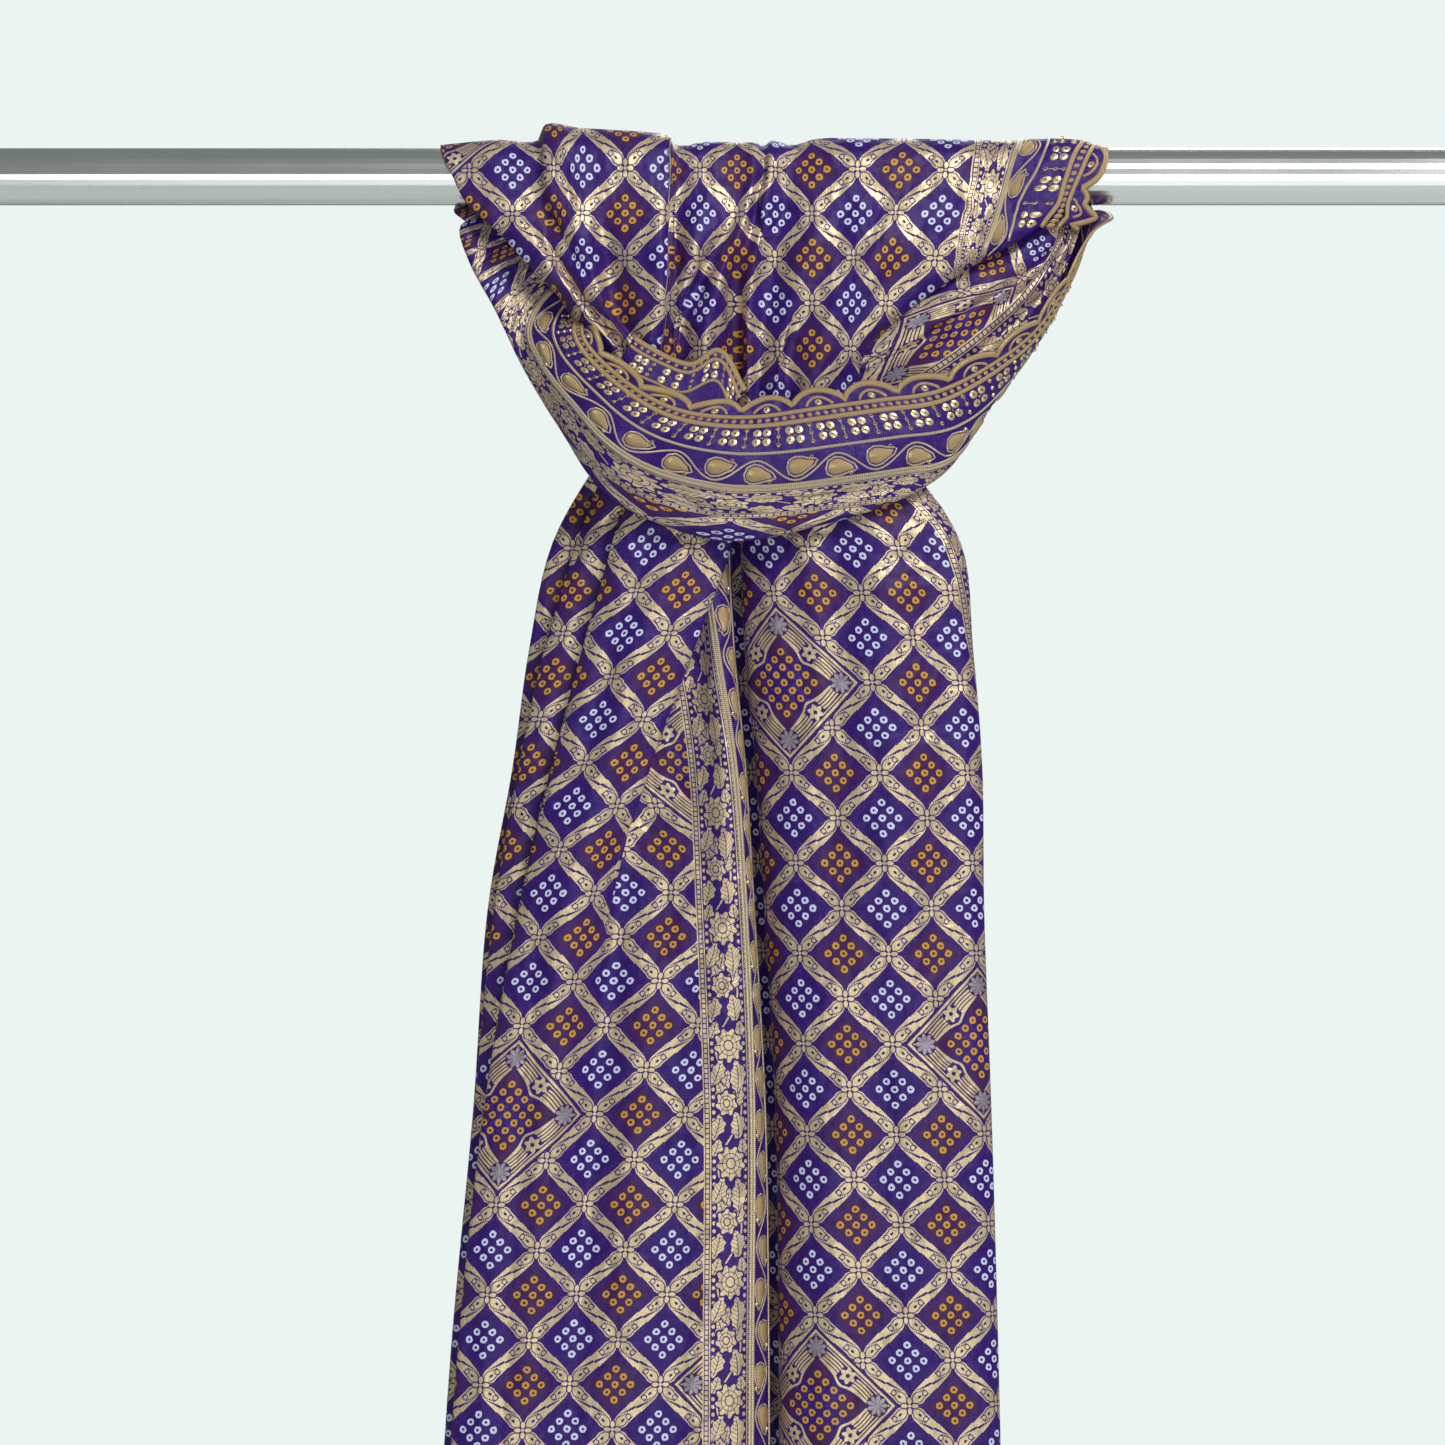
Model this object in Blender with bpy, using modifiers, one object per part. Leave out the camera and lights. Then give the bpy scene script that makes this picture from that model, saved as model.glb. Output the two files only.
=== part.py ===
"""A silk dupatta stole hitched on a steel rod, for Blender 4.5: metres, +Z up, front towards -Y.

The origin is on the rod's axis. Tables are in millimetres. Each stretch of cloth is a sheet lofted
through named fold lines, so a row of a table is one fold or one section.
"""

import math

import bmesh
import bpy
from mathutils import Vector

MM = 0.001

ROD_RADIUS = 16.0
ROD_LENGTH = 960.0
ROD_EDGE = 1.0

CLOTH = 1.6  # the wall
LACE = 1.2
SIDE_STANDS = 1.3  # how far a lace strip starts from a curved edge, so that the walls stay apart
HEM_STANDS = 0.35  # and from a level hem
SCALLOP_PITCH = 30.0
SCALLOP_HEIGHT = 12.0
SCALLOP_NOTCH = 7.0
SIDE_STEP = 5.0  # how far apart the points of a side lace are, and of a hem's
HEM_STEP = 7.5

NECK = -151.4  # the height where the tails begin, just below the gather
HEM_LEFT = -852.0
HEM_RIGHT = -846.0

# Sheets through fold lines


def between(p0, p1, p2, p3, share):
    """A point of the centripetal Catmull-Rom curve from p1 to p2."""
    t0 = 0.0
    t1 = t0 + max((p1 - p0).length, 1e-6) ** 0.5
    t2 = t1 + max((p2 - p1).length, 1e-6) ** 0.5
    t3 = t2 + max((p3 - p2).length, 1e-6) ** 0.5
    t = t1 + (t2 - t1) * share
    a1 = p0.lerp(p1, (t - t0) / (t1 - t0))
    a2 = p1.lerp(p2, (t - t1) / (t2 - t1))
    a3 = p2.lerp(p3, (t - t2) / (t3 - t2))
    b1 = a1.lerp(a2, (t - t0) / (t2 - t0))
    b2 = a2.lerp(a3, (t - t1) / (t3 - t1))
    return b1.lerp(b2, (t - t1) / (t2 - t1))


def smooth_line(points, steps):
    """The points of a smooth line through the given ones. steps gives how many each span is cut into."""
    ends = [points[0] * 2 - points[1]] + list(points) + [points[-1] * 2 - points[-2]]
    line = [points[0].copy()]
    for i, count in enumerate(steps):
        for step in range(1, count + 1):
            line.append(between(*ends[i : i + 4], step / count))
    return line


def smooth_grid(sections, across, along):
    """Sections of fold-line points made finer, first in each section, then from section to section."""
    fine = [smooth_line(section, across) for section in sections]
    columns = [smooth_line(list(column), along) for column in zip(*fine)]
    return [list(section) for section in zip(*columns)]


def collection_for(name):
    collection = bpy.data.collections.new(name)
    bpy.context.scene.collection.children.link(collection)
    return collection


def finish(name, colour, roughness, metallic=0.0):
    """A material by its colour as display values from 0 to 1, its roughness and whether it is metal."""
    made = bpy.data.materials.new(name)
    made.use_nodes = True
    shader = made.node_tree.nodes["Principled BSDF"]
    linear = [value**2.2 for value in colour]
    shader.inputs["Base Color"].default_value = (*linear, 1.0)
    shader.inputs["Roughness"].default_value = roughness
    shader.inputs["Metallic"].default_value = metallic
    return made


def sheet(name, grid, thickness, material, collection):
    """A wall of this thickness round the grid of points, given in millimetres."""
    mesh = bpy.data.meshes.new(name)
    build = bmesh.new()
    rows = [[build.verts.new(point * MM) for point in section] for section in grid]
    for lower, upper in zip(rows, rows[1:]):
        for i in range(len(lower) - 1):
            build.faces.new((lower[i], lower[i + 1], upper[i + 1], upper[i]))
    build.to_mesh(mesh)
    build.free()
    mesh.shade_smooth()
    mesh.materials.append(material)
    piece = bpy.data.objects.new(name, mesh)
    wall = piece.modifiers.new("Wall", "SOLIDIFY")
    wall.thickness = thickness * MM
    wall.offset = 0.0
    collection.objects.link(piece)
    return piece


def scallop(distance):
    """How wide the lace is at this distance along it: round petals with notches between them."""
    phase = (distance / SCALLOP_PITCH) % 1.0
    return SCALLOP_NOTCH + (SCALLOP_HEIGHT - SCALLOP_NOTCH) * math.sin(math.pi * phase) ** 0.6


def lace_strip(name, edge, outward, stands, material, collection, across=1):
    """Scalloped lace beyond a cloth's edge. outward gives the way it stands at each point of the edge."""
    rows = []
    distance = 0.0
    last = edge[0]
    for point, way in zip(edge, outward):
        distance += (point - last).length
        last = point
        start = point + way * stands
        wide = scallop(distance)
        rows.append([start + way * wide * i / across for i in range(across + 1)])
    return sheet(name, rows, LACE, material, collection)


def resampled(line, pitch):
    """Points at an even distance along a line."""
    lengths = [0.0]
    for a, b in zip(line, line[1:]):
        lengths.append(lengths[-1] + (b - a).length)
    count = max(2, round(lengths[-1] / pitch))
    points = []
    span = 0
    for i in range(count + 1):
        wanted = lengths[-1] * i / count
        while span < len(line) - 2 and lengths[span + 1] < wanted:
            span += 1
        part = (wanted - lengths[span]) / max(lengths[span + 1] - lengths[span], 1e-9)
        points.append(line[span].lerp(line[span + 1], part))
    return points


# The rod, along X


def make_rod(collection):
    bpy.ops.mesh.primitive_cylinder_add(
        vertices=32,
        radius=ROD_RADIUS * MM,
        depth=ROD_LENGTH * MM,
        rotation=(0.0, math.pi / 2, 0.0),
    )
    rod = bpy.context.active_object
    rod.name = "rod"
    rod.data.materials.append(finish("polished_steel", (0.78, 0.79, 0.8), 0.25, 1.0))
    edge = rod.modifiers.new("Edge", "BEVEL")
    edge.width = ROD_EDGE * MM
    edge.segments = 1
    rod.data.shade_smooth()
    rod.data.set_sharp_from_angle(angle=math.radians(30))
    for holder in list(rod.users_collection):
        holder.objects.unlink(rod)
    collection.objects.link(rod)


# The gather: up the front of the neck, over the rod and down behind it

# Heights of the sections of the front, from the neck up to the rod's axis
GATHER_HEIGHTS = (-150.5, -130, -105, -80, -55, -35, -17, 0)
# How far the cloth hangs in front of the rod's front there
GATHER_STANDS = (8, 9, 10, 11, 11, 10, 3, 0)
# Angles of the sections round the rod, from its front over its top to its back
GATHER_ANGLES = (140, 90, 40, -14)

# Each row is a fold line: across gives x at each height of the front, then at each angle.
# proud gives how far the line stands out of the cloth's mean, in the same order.
GATHER_FOLDS = {
    "left_tuck": {
        "across": (-38, -42, -46, -68, -98, -121, -142, -151, -156, -158, -157, -155),
        "proud": (-30, -28, -18, -12, -9, -8, -1.4, 1.4, 1.4, 1.4, 1.4, 1.4),
    },
    "left_edge": {
        "across": (-62, -61, -59, -76, -104, -122, -138, -146, -149, -151, -151, -149),
        "proud": (-8, -7, -4, -2, -1, 0, 1.5, 2.2, 2.2, 2.2, 2.2, 2.2),
    },
    "strip_crest": {
        "across": (-58, -57, -56, -74, -93, -108, -120, -123, -125, -126, -128, -128),
        "proud": (2, 3, 4, 5, 5, 5, 5, 5.5, 5, 4.4, 4.6, 4.4),
    },
    "first_valley": {
        "across": (-54.5, -53.5, -52.5, -70, -88, -98, -99, -102, -102, -103, -108, -110),
        "proud": (0, 0.5, 1, -1, 0, 1.5, 3, 4, 4, 4.2, 4.4, 4.2),
    },
    "first_ridge": {
        "across": (-51, -50, -49, -66, -82, -90, -95, -98, -98, -99, -103, -104),
        "proud": (3, 3.5, 4.5, 5, 6, 8, 9, 10, 12, 13, 9, 6),
    },
    "roll_a": {
        "across": (-47.5, -46.5, -45.5, -62, -73, -77, -80, -80, -80, -80, -82, -84),
        "proud": (3.5, 4, 5.5, 7, 8, 10, 11, 11, 11, 11, 8, 6),
    },
    "soft_valley": {
        "across": (-44, -43.5, -42.5, -58, -62, -65, -65, -65, -64, -64, -66, -68),
        "proud": (1, 1.5, 2.5, 0, 1, 5, 9, 10, 10, 10, 7, 5),
    },
    "roll_b": {
        "across": (-39, -39, -38.5, -43, -45, -46, -46, -46, -46, -46, -50, -52),
        "proud": (6, 7, 8, 9, 10, 10, 10, 10, 9, 9, 7, 5),
    },
    "second_ridge": {
        "across": (-32, -33, -34, -31, -29, -28, -28, -28, -29, -29, -34, -38),
        "proud": (2, 2, 4, 8, 10, 10, 9, 8, 7, 6, 5, 4),
    },
    "second_valley": {
        "across": (-28.5, -30, -31, -26, -26, -26, -26, -26, -26, -26, -30, -34),
        "proud": (0, 0, 1, 1, 1, 1.5, 2, 2, 1.8, 1.5, 1.5, 2),
    },
    "roll_c": {
        "across": (-25, -26.5, -28, -24, -18, -13, -10, -10, -10, -10, -16, -20),
        "proud": (0, 0, 1, 3, 6, 7, 6, 5, 4, 3, 3, 4),
    },
    "diagonal": {
        "across": (-21, -22.5, -24, -21, -10, 1, 8, 12, 12, 12, 4, 0),
        "proud": (-3, -3, -2, -1, 1, 2, 3, 3, 3, 3, 2, 2),
    },
    "roll_d": {
        "across": (-10, -10, -10, -6, 0, 9, 14, 17, 17, 17, 16, 12),
        "proud": (5, 6, 8, 9, 8, 6, 5, 5, 4, 3, 4, 5),
    },
    "deep_valley": {
        "across": (9, 9, 7, 7, 8, 15, 19, 23, 24, 24, 26, 26),
        "proud": (-9, -9, -9, -8, -4, 0.5, 1.5, 1.3, 1.3, 1.3, 2, 2),
    },
    "small_ridge": {
        "across": (14, 14, 13, 13, 17, 21, 22, 26, 27, 28, 34, 36),
        "proud": (0, 0, 0, 2, 4, 6, 7, 7, 6, 3.5, 4, 5),
    },
    "small_valley": {
        "across": (20, 20, 21, 24, 29, 31, 34, 37, 39, 40, 48, 52),
        "proud": (-4, -4, -4, -4, -4, -1, 1.5, 1.5, 1.5, 1.5, 2, 2),
    },
    "right_crest_1": {
        "across": (30, 30, 32, 38, 43, 48, 50, 52, 53, 53, 62, 66),
        "proud": (5, 5, 6, 7, 6, 6, 6, 6, 5, 5, 5, 5),
    },
    "soft_right": {
        "across": (44, 36, 37, 45, 55, 66, 72, 77, 78, 79, 84, 88),
        "proud": (0, -1, 0, 4, 7, 7, 7, 7, 6, 5, 3, 3),
    },
    "right_crest_2": {
        "across": (60, 48, 52, 60, 77, 94, 102, 110, 109, 108, 114, 118),
        "proud": (5, 6, 7, 8, 8, 7, 6, 5, 5, 5, 5, 5),
    },
    "turn_right": {
        "across": (76, 60, 64, 80, 106, 134, 152, 162, 162, 161, 158, 158),
        "proud": (3, 3, 4, 4, 5, 5, 5, 4, 4, 4, 3, 3),
    },
    "border_crest": {
        "across": (88, 72, 73, 92, 124, 158, 180, 190, 194, 196, 192, 192),
        "proud": (0, 0, 0, 2, 4, 5, 6, 5, 5, 5, 4, 3),
    },
    "lace_edge": {
        "across": (96, 80, 77, 99, 134, 169, 192, 203, 207, 208, 208, 207),
        "proud": (-4, -4, -4, -3, -1, 1, 3, 3, 2, 1.5, 1.5, 1.5),
    },
}


def hung_on_rod(point):
    """A point given as x, the way along the cloth from the rod's axis, and how far it stands from the rod."""
    across, way, stands = point
    radius = ROD_RADIUS + stands
    if way <= 0:
        return Vector((across, -radius, way))
    turn = math.pi - way / ROD_RADIUS
    return Vector((across, radius * math.cos(turn), radius * math.sin(turn)))


def gather_grid():
    """Smoothed flat, as heights below the rod's axis and lengths round the rod above it, then hung."""
    ways = list(GATHER_HEIGHTS)
    ways += [ROD_RADIUS * math.radians(180 - angle) for angle in GATHER_ANGLES]
    stands = list(GATHER_STANDS) + [0] * len(GATHER_ANGLES)
    sections = []
    for i, way in enumerate(ways):
        folds = GATHER_FOLDS.values()
        sections.append([Vector((fold["across"][i], way, stands[i] + fold["proud"][i])) for fold in folds])
    along = [1] * (len(GATHER_HEIGHTS) - 1) + [2] * len(GATHER_ANGLES)
    grid = smooth_grid(sections, [2] * (len(GATHER_FOLDS) - 1), along)
    return [[hung_on_rod(point) for point in section] for section in grid]


def make_gather(silk, lace, collection):
    grid = gather_grid()
    sheet("gather", grid, CLOTH, silk, collection)
    first = 6  # below this section the edge is turned under
    edge = resampled([section[-1] for section in grid[first:]], SIDE_STEP)
    outward = [Vector((1.0, 0.0, 0.0))] * len(edge)
    lace_strip("gather_lace", edge, outward, SIDE_STANDS, lace, collection, across=2)


# The loop: from behind the rod on the left, across the front of the neck, to behind it on the right

# Each row is a section: the lace edge, then the turn that makes the outline, then the hidden tuck
# behind it. proud is how far the face between edge and turn stands out.
LOOP_SECTIONS = (
    {"name": "rod_back_left", "edge": (-14, 18.5, -5.6), "turn": (-120, 18.5, -5.6),
     "tuck": (-150, 18.5, -5.6), "proud": 0},
    {"name": "rod_low_left", "edge": (-16, 13.5, -14.2), "turn": (-121, 13.5, -14.2),
     "tuck": (-150, 13.5, -14.2), "proud": 0},
    {"name": "rod_under_left", "edge": (-20, 3, -20), "turn": (-122, 3, -20),
     "tuck": (-150, 3, -20), "proud": 0},
    {"name": "left_1", "edge": (-38, 0, -40), "turn": (-146, -8, -28),
     "tuck": (-138, 6, -30), "proud": 2},
    {"name": "left_2", "edge": (-60, -4, -64), "turn": (-141, -13, -48),
     "tuck": (-132, 8, -52), "proud": 3},
    {"name": "left_3", "edge": (-74, -9, -76), "turn": (-127, -18, -74),
     "tuck": (-116, 9, -78), "proud": 4},
    {"name": "left_4", "edge": (-76, -39, -94), "turn": (-112, -20, -106),
     "tuck": (-98, 8, -104), "proud": 6},
    {"name": "left_5", "edge": (-51, -49, -119), "turn": (-91, -24, -141),
     "tuck": (-80, 3, -134), "proud": 10},
    {"name": "left_6", "edge": (-24, -51, -133), "turn": (-62, -41, -181),
     "tuck": (-58, -33, -172), "proud": 10},
    {"name": "middle", "edge": (12, -52, -137), "turn": (0, -47, -205),
     "tuck": (2, -40, -196), "proud": 13},
    {"name": "right_1", "edge": (52, -52, -132), "turn": (52, -46, -197),
     "tuck": (52, -40, -188), "proud": 12},
    {"name": "right_2", "edge": (88, -50, -127), "turn": (94, -42, -184),
     "tuck": (92, -35, -176), "proud": 10},
    {"name": "right_3", "edge": (106, -48, -125), "turn": (112, -37, -175),
     "tuck": (110, -31, -167), "proud": 9},
    {"name": "right_4", "edge": (122, -46, -121), "turn": (127, -25, -163),
     "tuck": (121, -9, -156), "proud": 8},
    {"name": "right_5", "edge": (149, -41, -107), "turn": (145, -12, -134),
     "tuck": (126, 10, -130), "proud": 7},
    {"name": "right_6", "edge": (173, -35, -88), "turn": (164, -4, -104),
     "tuck": (132, 14, -102), "proud": 6},
    {"name": "right_7", "edge": (192, -28, -60), "turn": (180, 2, -72),
     "tuck": (130, 14, -74), "proud": 5},
    {"name": "right_8", "edge": (203, -20, -36), "turn": (188, 4, -44),
     "tuck": (110, 10, -46), "proud": 3},
    {"name": "rod_under_right", "edge": (208, 2, -20), "turn": (170, 3, -20),
     "tuck": (60, 3, -20), "proud": 0},
    {"name": "rod_low_right", "edge": (207, 13.5, -14.2), "turn": (169, 13.5, -14.2),
     "tuck": (48, 13.5, -14.2), "proud": 0},
    {"name": "rod_back_right", "edge": (206, 18.5, -5.6), "turn": (168, 18.5, -5.6),
     "tuck": (40, 18.5, -5.6), "proud": 0},
)
NECK_AXIS = Vector((12, -10, 0))


def loop_section(row):
    edge = Vector(row["edge"])
    turn = Vector(row["turn"])
    tuck = Vector(row["tuck"])
    middle = edge.lerp(turn, 0.5)
    away = middle - NECK_AXIS
    away.z = 0.0
    away.normalize()
    points = [edge]
    for share in (0.25, 0.5, 0.75):
        out = row["proud"] * math.sin(math.pi * share)
        points.append(edge.lerp(turn, share) + away * out)
    points.append(turn)
    points.append(tuck)
    return points


def make_loop(silk, lace, collection):
    sections = [loop_section(row) for row in LOOP_SECTIONS]
    grid = smooth_grid(sections, [1, 1, 1, 1, 2], [2] * (len(sections) - 1))
    sheet("loop", grid, CLOTH, silk, collection)
    shown = slice(13, -8)  # where the lace edge comes from behind the gather, and where the rod covers it
    edge = resampled([section[0] for section in grid[shown]], SIDE_STEP)
    before = resampled([section[1] for section in grid[shown]], SIDE_STEP)
    outward = [(a - b).normalized() for a, b in zip(edge, before)]
    lace_strip("loop_lace", edge, outward, SIDE_STANDS, lace, collection)


# The inner layer: three rolls that fan from the rod's right end down behind the loop's edge

# Each row is a fold line, from the rod down to its hidden end on the left
INNER_FOLDS = {
    "under_gather": ((184, -12, -21), (158, -15, -34), (131, -16, -44),
        (104, -17, -62), (74, -16, -86), (42, -12, -110)),
    "roll_1": ((193, -14, -21), (178, -19, -42), (157, -23, -57),
        (135, -25, -72), (104, -25, -92), (60, -15, -118)),
    "valley_1": ((197, -11, -21), (186, -14, -41), (166, -18, -60),
        (142, -21, -74), (113, -22, -93), (70, -17, -121)),
    "roll_2": ((200, -13, -22), (188, -18, -47), (170, -24, -65),
        (148, -28, -82), (120, -30, -100), (82, -21, -124)),
    "valley_2": ((200, -10, -22), (189, -15, -52), (174, -20, -73),
        (154, -25, -92), (130, -29, -111), (94, -28, -128)),
    "roll_3": ((202, -10, -23), (191, -17, -53), (178, -24, -77),
        (158, -30, -97), (135, -34, -115), (102, -35, -132)),
}


def make_inner(silk, collection):
    lines = [[Vector(point) for point in line] for line in INNER_FOLDS.values()]
    sections = [list(section) for section in zip(*lines)]
    grid = smooth_grid(sections, [2] * (len(lines) - 1), [2] * (len(sections) - 1))
    sheet("loop_inner", grid, CLOTH, silk, collection)


# The turned piece of lace border that stands behind the loop's edge on the left

# Each row is a section from its hidden foot up to its scalloped edge
LACE_TURN_SECTIONS = {
    "left": ((-52, -46.4, -109), (-46, -45.4, -101), (-43, -44.4, -98)),
    "first_peak": ((-40, -48, -122), (-34, -46.4, -112), (-26, -45.4, -105)),
    "notch": ((-24, -48.6, -130), (-20, -47, -118), (-16, -46, -107)),
    "second_peak": ((-8, -48.8, -134), (-4, -47, -117), (-2, -46, -101)),
    "right": ((8, -48.8, -138), (9, -47, -128), (11, -46, -118)),
}


def make_lace_turn(lace, collection):
    sections = [[Vector(point) for point in row] for row in LACE_TURN_SECTIONS.values()]
    grid = smooth_grid(sections, [2, 2], [3] * (len(sections) - 1))
    sheet("lace_turn", grid, LACE, lace, collection)


# The two tails: each row is a fold line, and each section goes round from the lace edge inwards

TAIL_HEIGHTS = (NECK, -205, -265, -330, -410, -520, -660, -850)

TAIL_LEFT_FOLDS = {
    "lace_edge": {"x": (10, 5, 7, 13, 18, 24, 26, 26), "y": (-4, -5, -6, -6, -6, -6, -6, -6)},
    "flank": {"x": (9, 4, 6, 12, 17, 23, 25, 25), "y": (-10, -13, -16, -18, -18, -18, -18, -18)},
    "corner": {"x": (5, 0, 3, 9, 14, 17, 15, 13), "y": (-16, -22, -28, -32, -33, -34, -34, -34)},
    "band": {"x": (-1, -6, -4, 1, 4, 4, 0, -3), "y": (-17, -24, -31, -36, -38, -40, -40, -40)},
    "pocket": {"x": (-10, -15, -13, -13, -14, -20, -25, -28), "y": (-16, -20, -23, -27, -33, -38, -39, -39)},
    "pleat_turn": {"x": (-20, -25, -36, -55, -53, -48, -58, -62), "y": (-18, -21, -22, -24, -30, -36, -38, -38)},
    "pleat_under": {"x": (-10, -14, -31, -53, -60, -64, -76, -82), "y": (-21, -26, -28, -30, -32, -35, -37, -38)},
    "pleat_edge": {"x": (8, 5, -16, -40, -63, -78, -88, -92), "y": (-24, -30, -34, -38, -37, -37, -38, -39)},
    "panel_right": {"x": (0, -6, -28, -52, -75, -92, -105, -112), "y": (-29, -35, -40, -43, -43, -42, -42, -42)},
    "panel": {"x": (-20, -30, -46, -66, -88, -108, -122, -132), "y": (-31, -37, -43, -46, -46, -44, -43, -43)},
    "panel_left": {"x": (-38, -51, -67, -84, -104, -123, -137, -149), "y": (-28, -34, -40, -42, -42, -41, -40, -40)},
    "fold_b": {"x": (-49, -61, -78, -95, -113, -132, -147, -158), "y": (-22, -28, -34, -37, -37, -36, -35, -35)},
    "under_b": {"x": (-44, -55, -71, -87, -105, -124, -140, -151), "y": (-18, -24, -29, -32, -32, -31, -30, -30)},
    "turn_b": {"x": (-36, -45, -60, -76, -94, -114, -131, -142), "y": (-15, -20, -25, -28, -28, -27, -26, -26)},
    "strip_m": {"x": (-53, -70, -88, -104, -118, -132, -145, -156), "y": (-12, -17, -22, -25, -25, -24, -22, -22)},
    "fold_a": {"x": (-61, -81, -99, -113, -127, -138, -151, -162), "y": (-8, -13, -18, -21, -21, -20, -18, -18)},
    "under_a": {"x": (-54, -72, -90, -104, -118, -130, -144, -155), "y": (-4, -8, -13, -16, -16, -15, -13, -13)},
    "turn_a": {"x": (-44, -60, -78, -92, -106, -119, -134, -145), "y": (-1, -4, -9, -12, -12, -11, -9, -9)},
    "strip_o": {"x": (-57, -84, -100, -111, -125, -134, -148, -159), "y": (1.5, -1, -6, -9, -9, -8, -5, -5)},
    "outline": {"x": (-65, -95, -108, -117, -131, -139, -152, -164), "y": (6, 3, -2, -5, -5, -4, -1, -1)},
    "back_left": {"x": (-58, -86, -98, -107, -120, -129, -142, -154), "y": (10, 8, 4, 2, 2, 3, 5, 5)},
    "back": {"x": (-28, -40, -46, -50, -54, -56, -62, -68), "y": (12, 12, 11, 10, 10, 10, 12, 12)},
    "back_right": {"x": (-14, -20, -18, -12, -8, -2, 0, 0), "y": (11, 11, 11, 11, 11, 11, 12, 12)},
    "inner_turn": {"x": (-9, -14, -12, -6, -2, 4, 6, 6), "y": (7, 7, 7, 7, 7, 7, 8, 8)},
    "inner": {"x": (-15, -22, -19, -13, -9, -3, -1, -1), "y": (3, 3, 3, 3, 3, 3, 4, 4)},
    "inner_end": {"x": (-30, -46, -54, -60, -66, -72, -84, -90), "y": (5, 4, 2, 1, 0, 0, 2, 2)},
}

TAIL_RIGHT_FOLDS = {
    "lace_edge": {"x": (52, 72, 80, 84, 85, 88, 92, 96), "y": (-13, -16, -18, -20, -21, -21, -21, -21)},
    "border": {"x": (72, 104, 111, 115, 116, 120, 124, 128), "y": (-13, -17, -20, -22, -23, -23, -23, -23)},
    "outline_back": {"x": (91, 126, 133, 137, 138, 142, 146, 150), "y": (-12, -17, -20, -22, -23, -23, -23, -23)},
    "outline": {"x": (96, 132, 139, 144, 145, 149, 153, 157), "y": (-16, -22, -25, -27, -29, -29, -29, -29)},
    "front_turn": {"x": (90, 126, 133, 137, 138, 142, 146, 150), "y": (-22, -30, -33, -35, -37, -37, -37, -37)},
    "front_right": {"x": (72, 103, 110, 114, 115, 119, 123, 127), "y": (-27, -35, -39, -41, -42, -42, -42, -42)},
    "front": {"x": (50, 72, 80, 84, 86, 88, 91, 93), "y": (-29, -37, -42, -44, -45, -45, -44, -44)},
    "front_left": {"x": (34, 46, 50, 54, 57, 60, 62, 63), "y": (-27, -34, -38, -40, -41, -41, -41, -41)},
    "flank_front": {"x": (20, 21, 25, 31, 35, 41, 43, 43), "y": (-20, -24, -28, -30, -32, -33, -34, -34)},
    "flank": {"x": (14.5, 11, 13, 19, 24, 30, 32, 32), "y": (-8, -12, -15, -16, -18, -18, -20, -20)},
    "flank_back": {"x": (17, 12, 14, 20, 25, 31, 33, 33), "y": (1, 1, 1, 1, 1, 1, 1, 1)},
    "back_turn": {"x": (9, 3, 5, 10, 15, 21, 23, 23), "y": (9, 9, 9, 10, 10, 10, 10, 10)},
    "back": {"x": (48, 64, 70, 74, 78, 82, 86, 88), "y": (15, 15, 15, 15, 15, 15, 15, 15)},
    "back_right": {"x": (86, 120, 127, 131, 132, 136, 140, 144), "y": (9, 9, 8, 7, 6, 6, 6, 6)},
    "outline_2": {"x": (93, 129, 136, 140, 141, 145, 149, 153), "y": (3, 2, 0, -2, -3, -3, -3, -3)},
    "inner_right": {"x": (86, 120, 127, 131, 132, 136, 140, 144), "y": (-3, -5, -7, -9, -11, -11, -11, -11)},
    "inner": {"x": (52, 66, 72, 78, 82, 86, 90, 92), "y": (-1, -2, -3, -4, -5, -5, -5, -5)},
    "inner_left": {"x": (32, 32, 36, 42, 46, 52, 54, 54), "y": (-2, -3, -4, -5, -7, -7, -7, -7)},
    "inner_turn": {"x": (25, 23, 27, 33, 37, 43, 45, 45), "y": (-6, -8, -9, -11, -12, -13, -13, -13)},
    "inner_2": {"x": (30, 32, 37, 44, 48, 54, 56, 56), "y": (-11, -14, -15, -17, -18, -19, -19, -19)},
    "inner_end": {"x": (40, 52, 60, 66, 68, 72, 76, 78), "y": (-18, -24, -27, -30, -31, -31, -31, -31)},
}


def tail_sections(folds, hem):
    sections = []
    for i, height in enumerate(TAIL_HEIGHTS):
        z = hem if i == len(TAIL_HEIGHTS) - 1 else height
        sections.append([Vector((fold["x"][i], fold["y"][i], z)) for fold in folds.values()])
    return sections


def make_tail(name, folds, hem, plain_spans, silk, lace, collection):
    """A tail and the lace below its hem. plain_spans is how many spans at the hidden end need no step."""
    across = [2] * (len(folds) - 1 - plain_spans) + [1] * plain_spans
    grid = smooth_grid(tail_sections(folds, hem), across, [2] * (len(TAIL_HEIGHTS) - 1))
    sheet(name, grid, CLOTH, silk, collection)
    edge = resampled(grid[-1], HEM_STEP)
    down = Vector((0.0, 0.0, -1.0))
    lace_strip(name + "_hem", edge, [down] * len(edge), HEM_STANDS, lace, collection)


def main():
    for old in list(bpy.data.objects):
        bpy.data.objects.remove(old)
    collection = collection_for("dupatta_stole")
    silk = finish("violet_brocade", (0.3, 0.17, 0.45), 0.45)
    lace = finish("gold_lace", (0.79, 0.64, 0.41), 0.4, 0.3)
    make_rod(collection)
    make_gather(silk, lace, collection)
    make_loop(silk, lace, collection)
    make_inner(silk, collection)
    make_lace_turn(lace, collection)
    make_tail("tail_left", TAIL_LEFT_FOLDS, HEM_LEFT, 6, silk, lace, collection)
    make_tail("tail_right", TAIL_RIGHT_FOLDS, HEM_RIGHT, 6, silk, lace, collection)


main()
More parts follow.
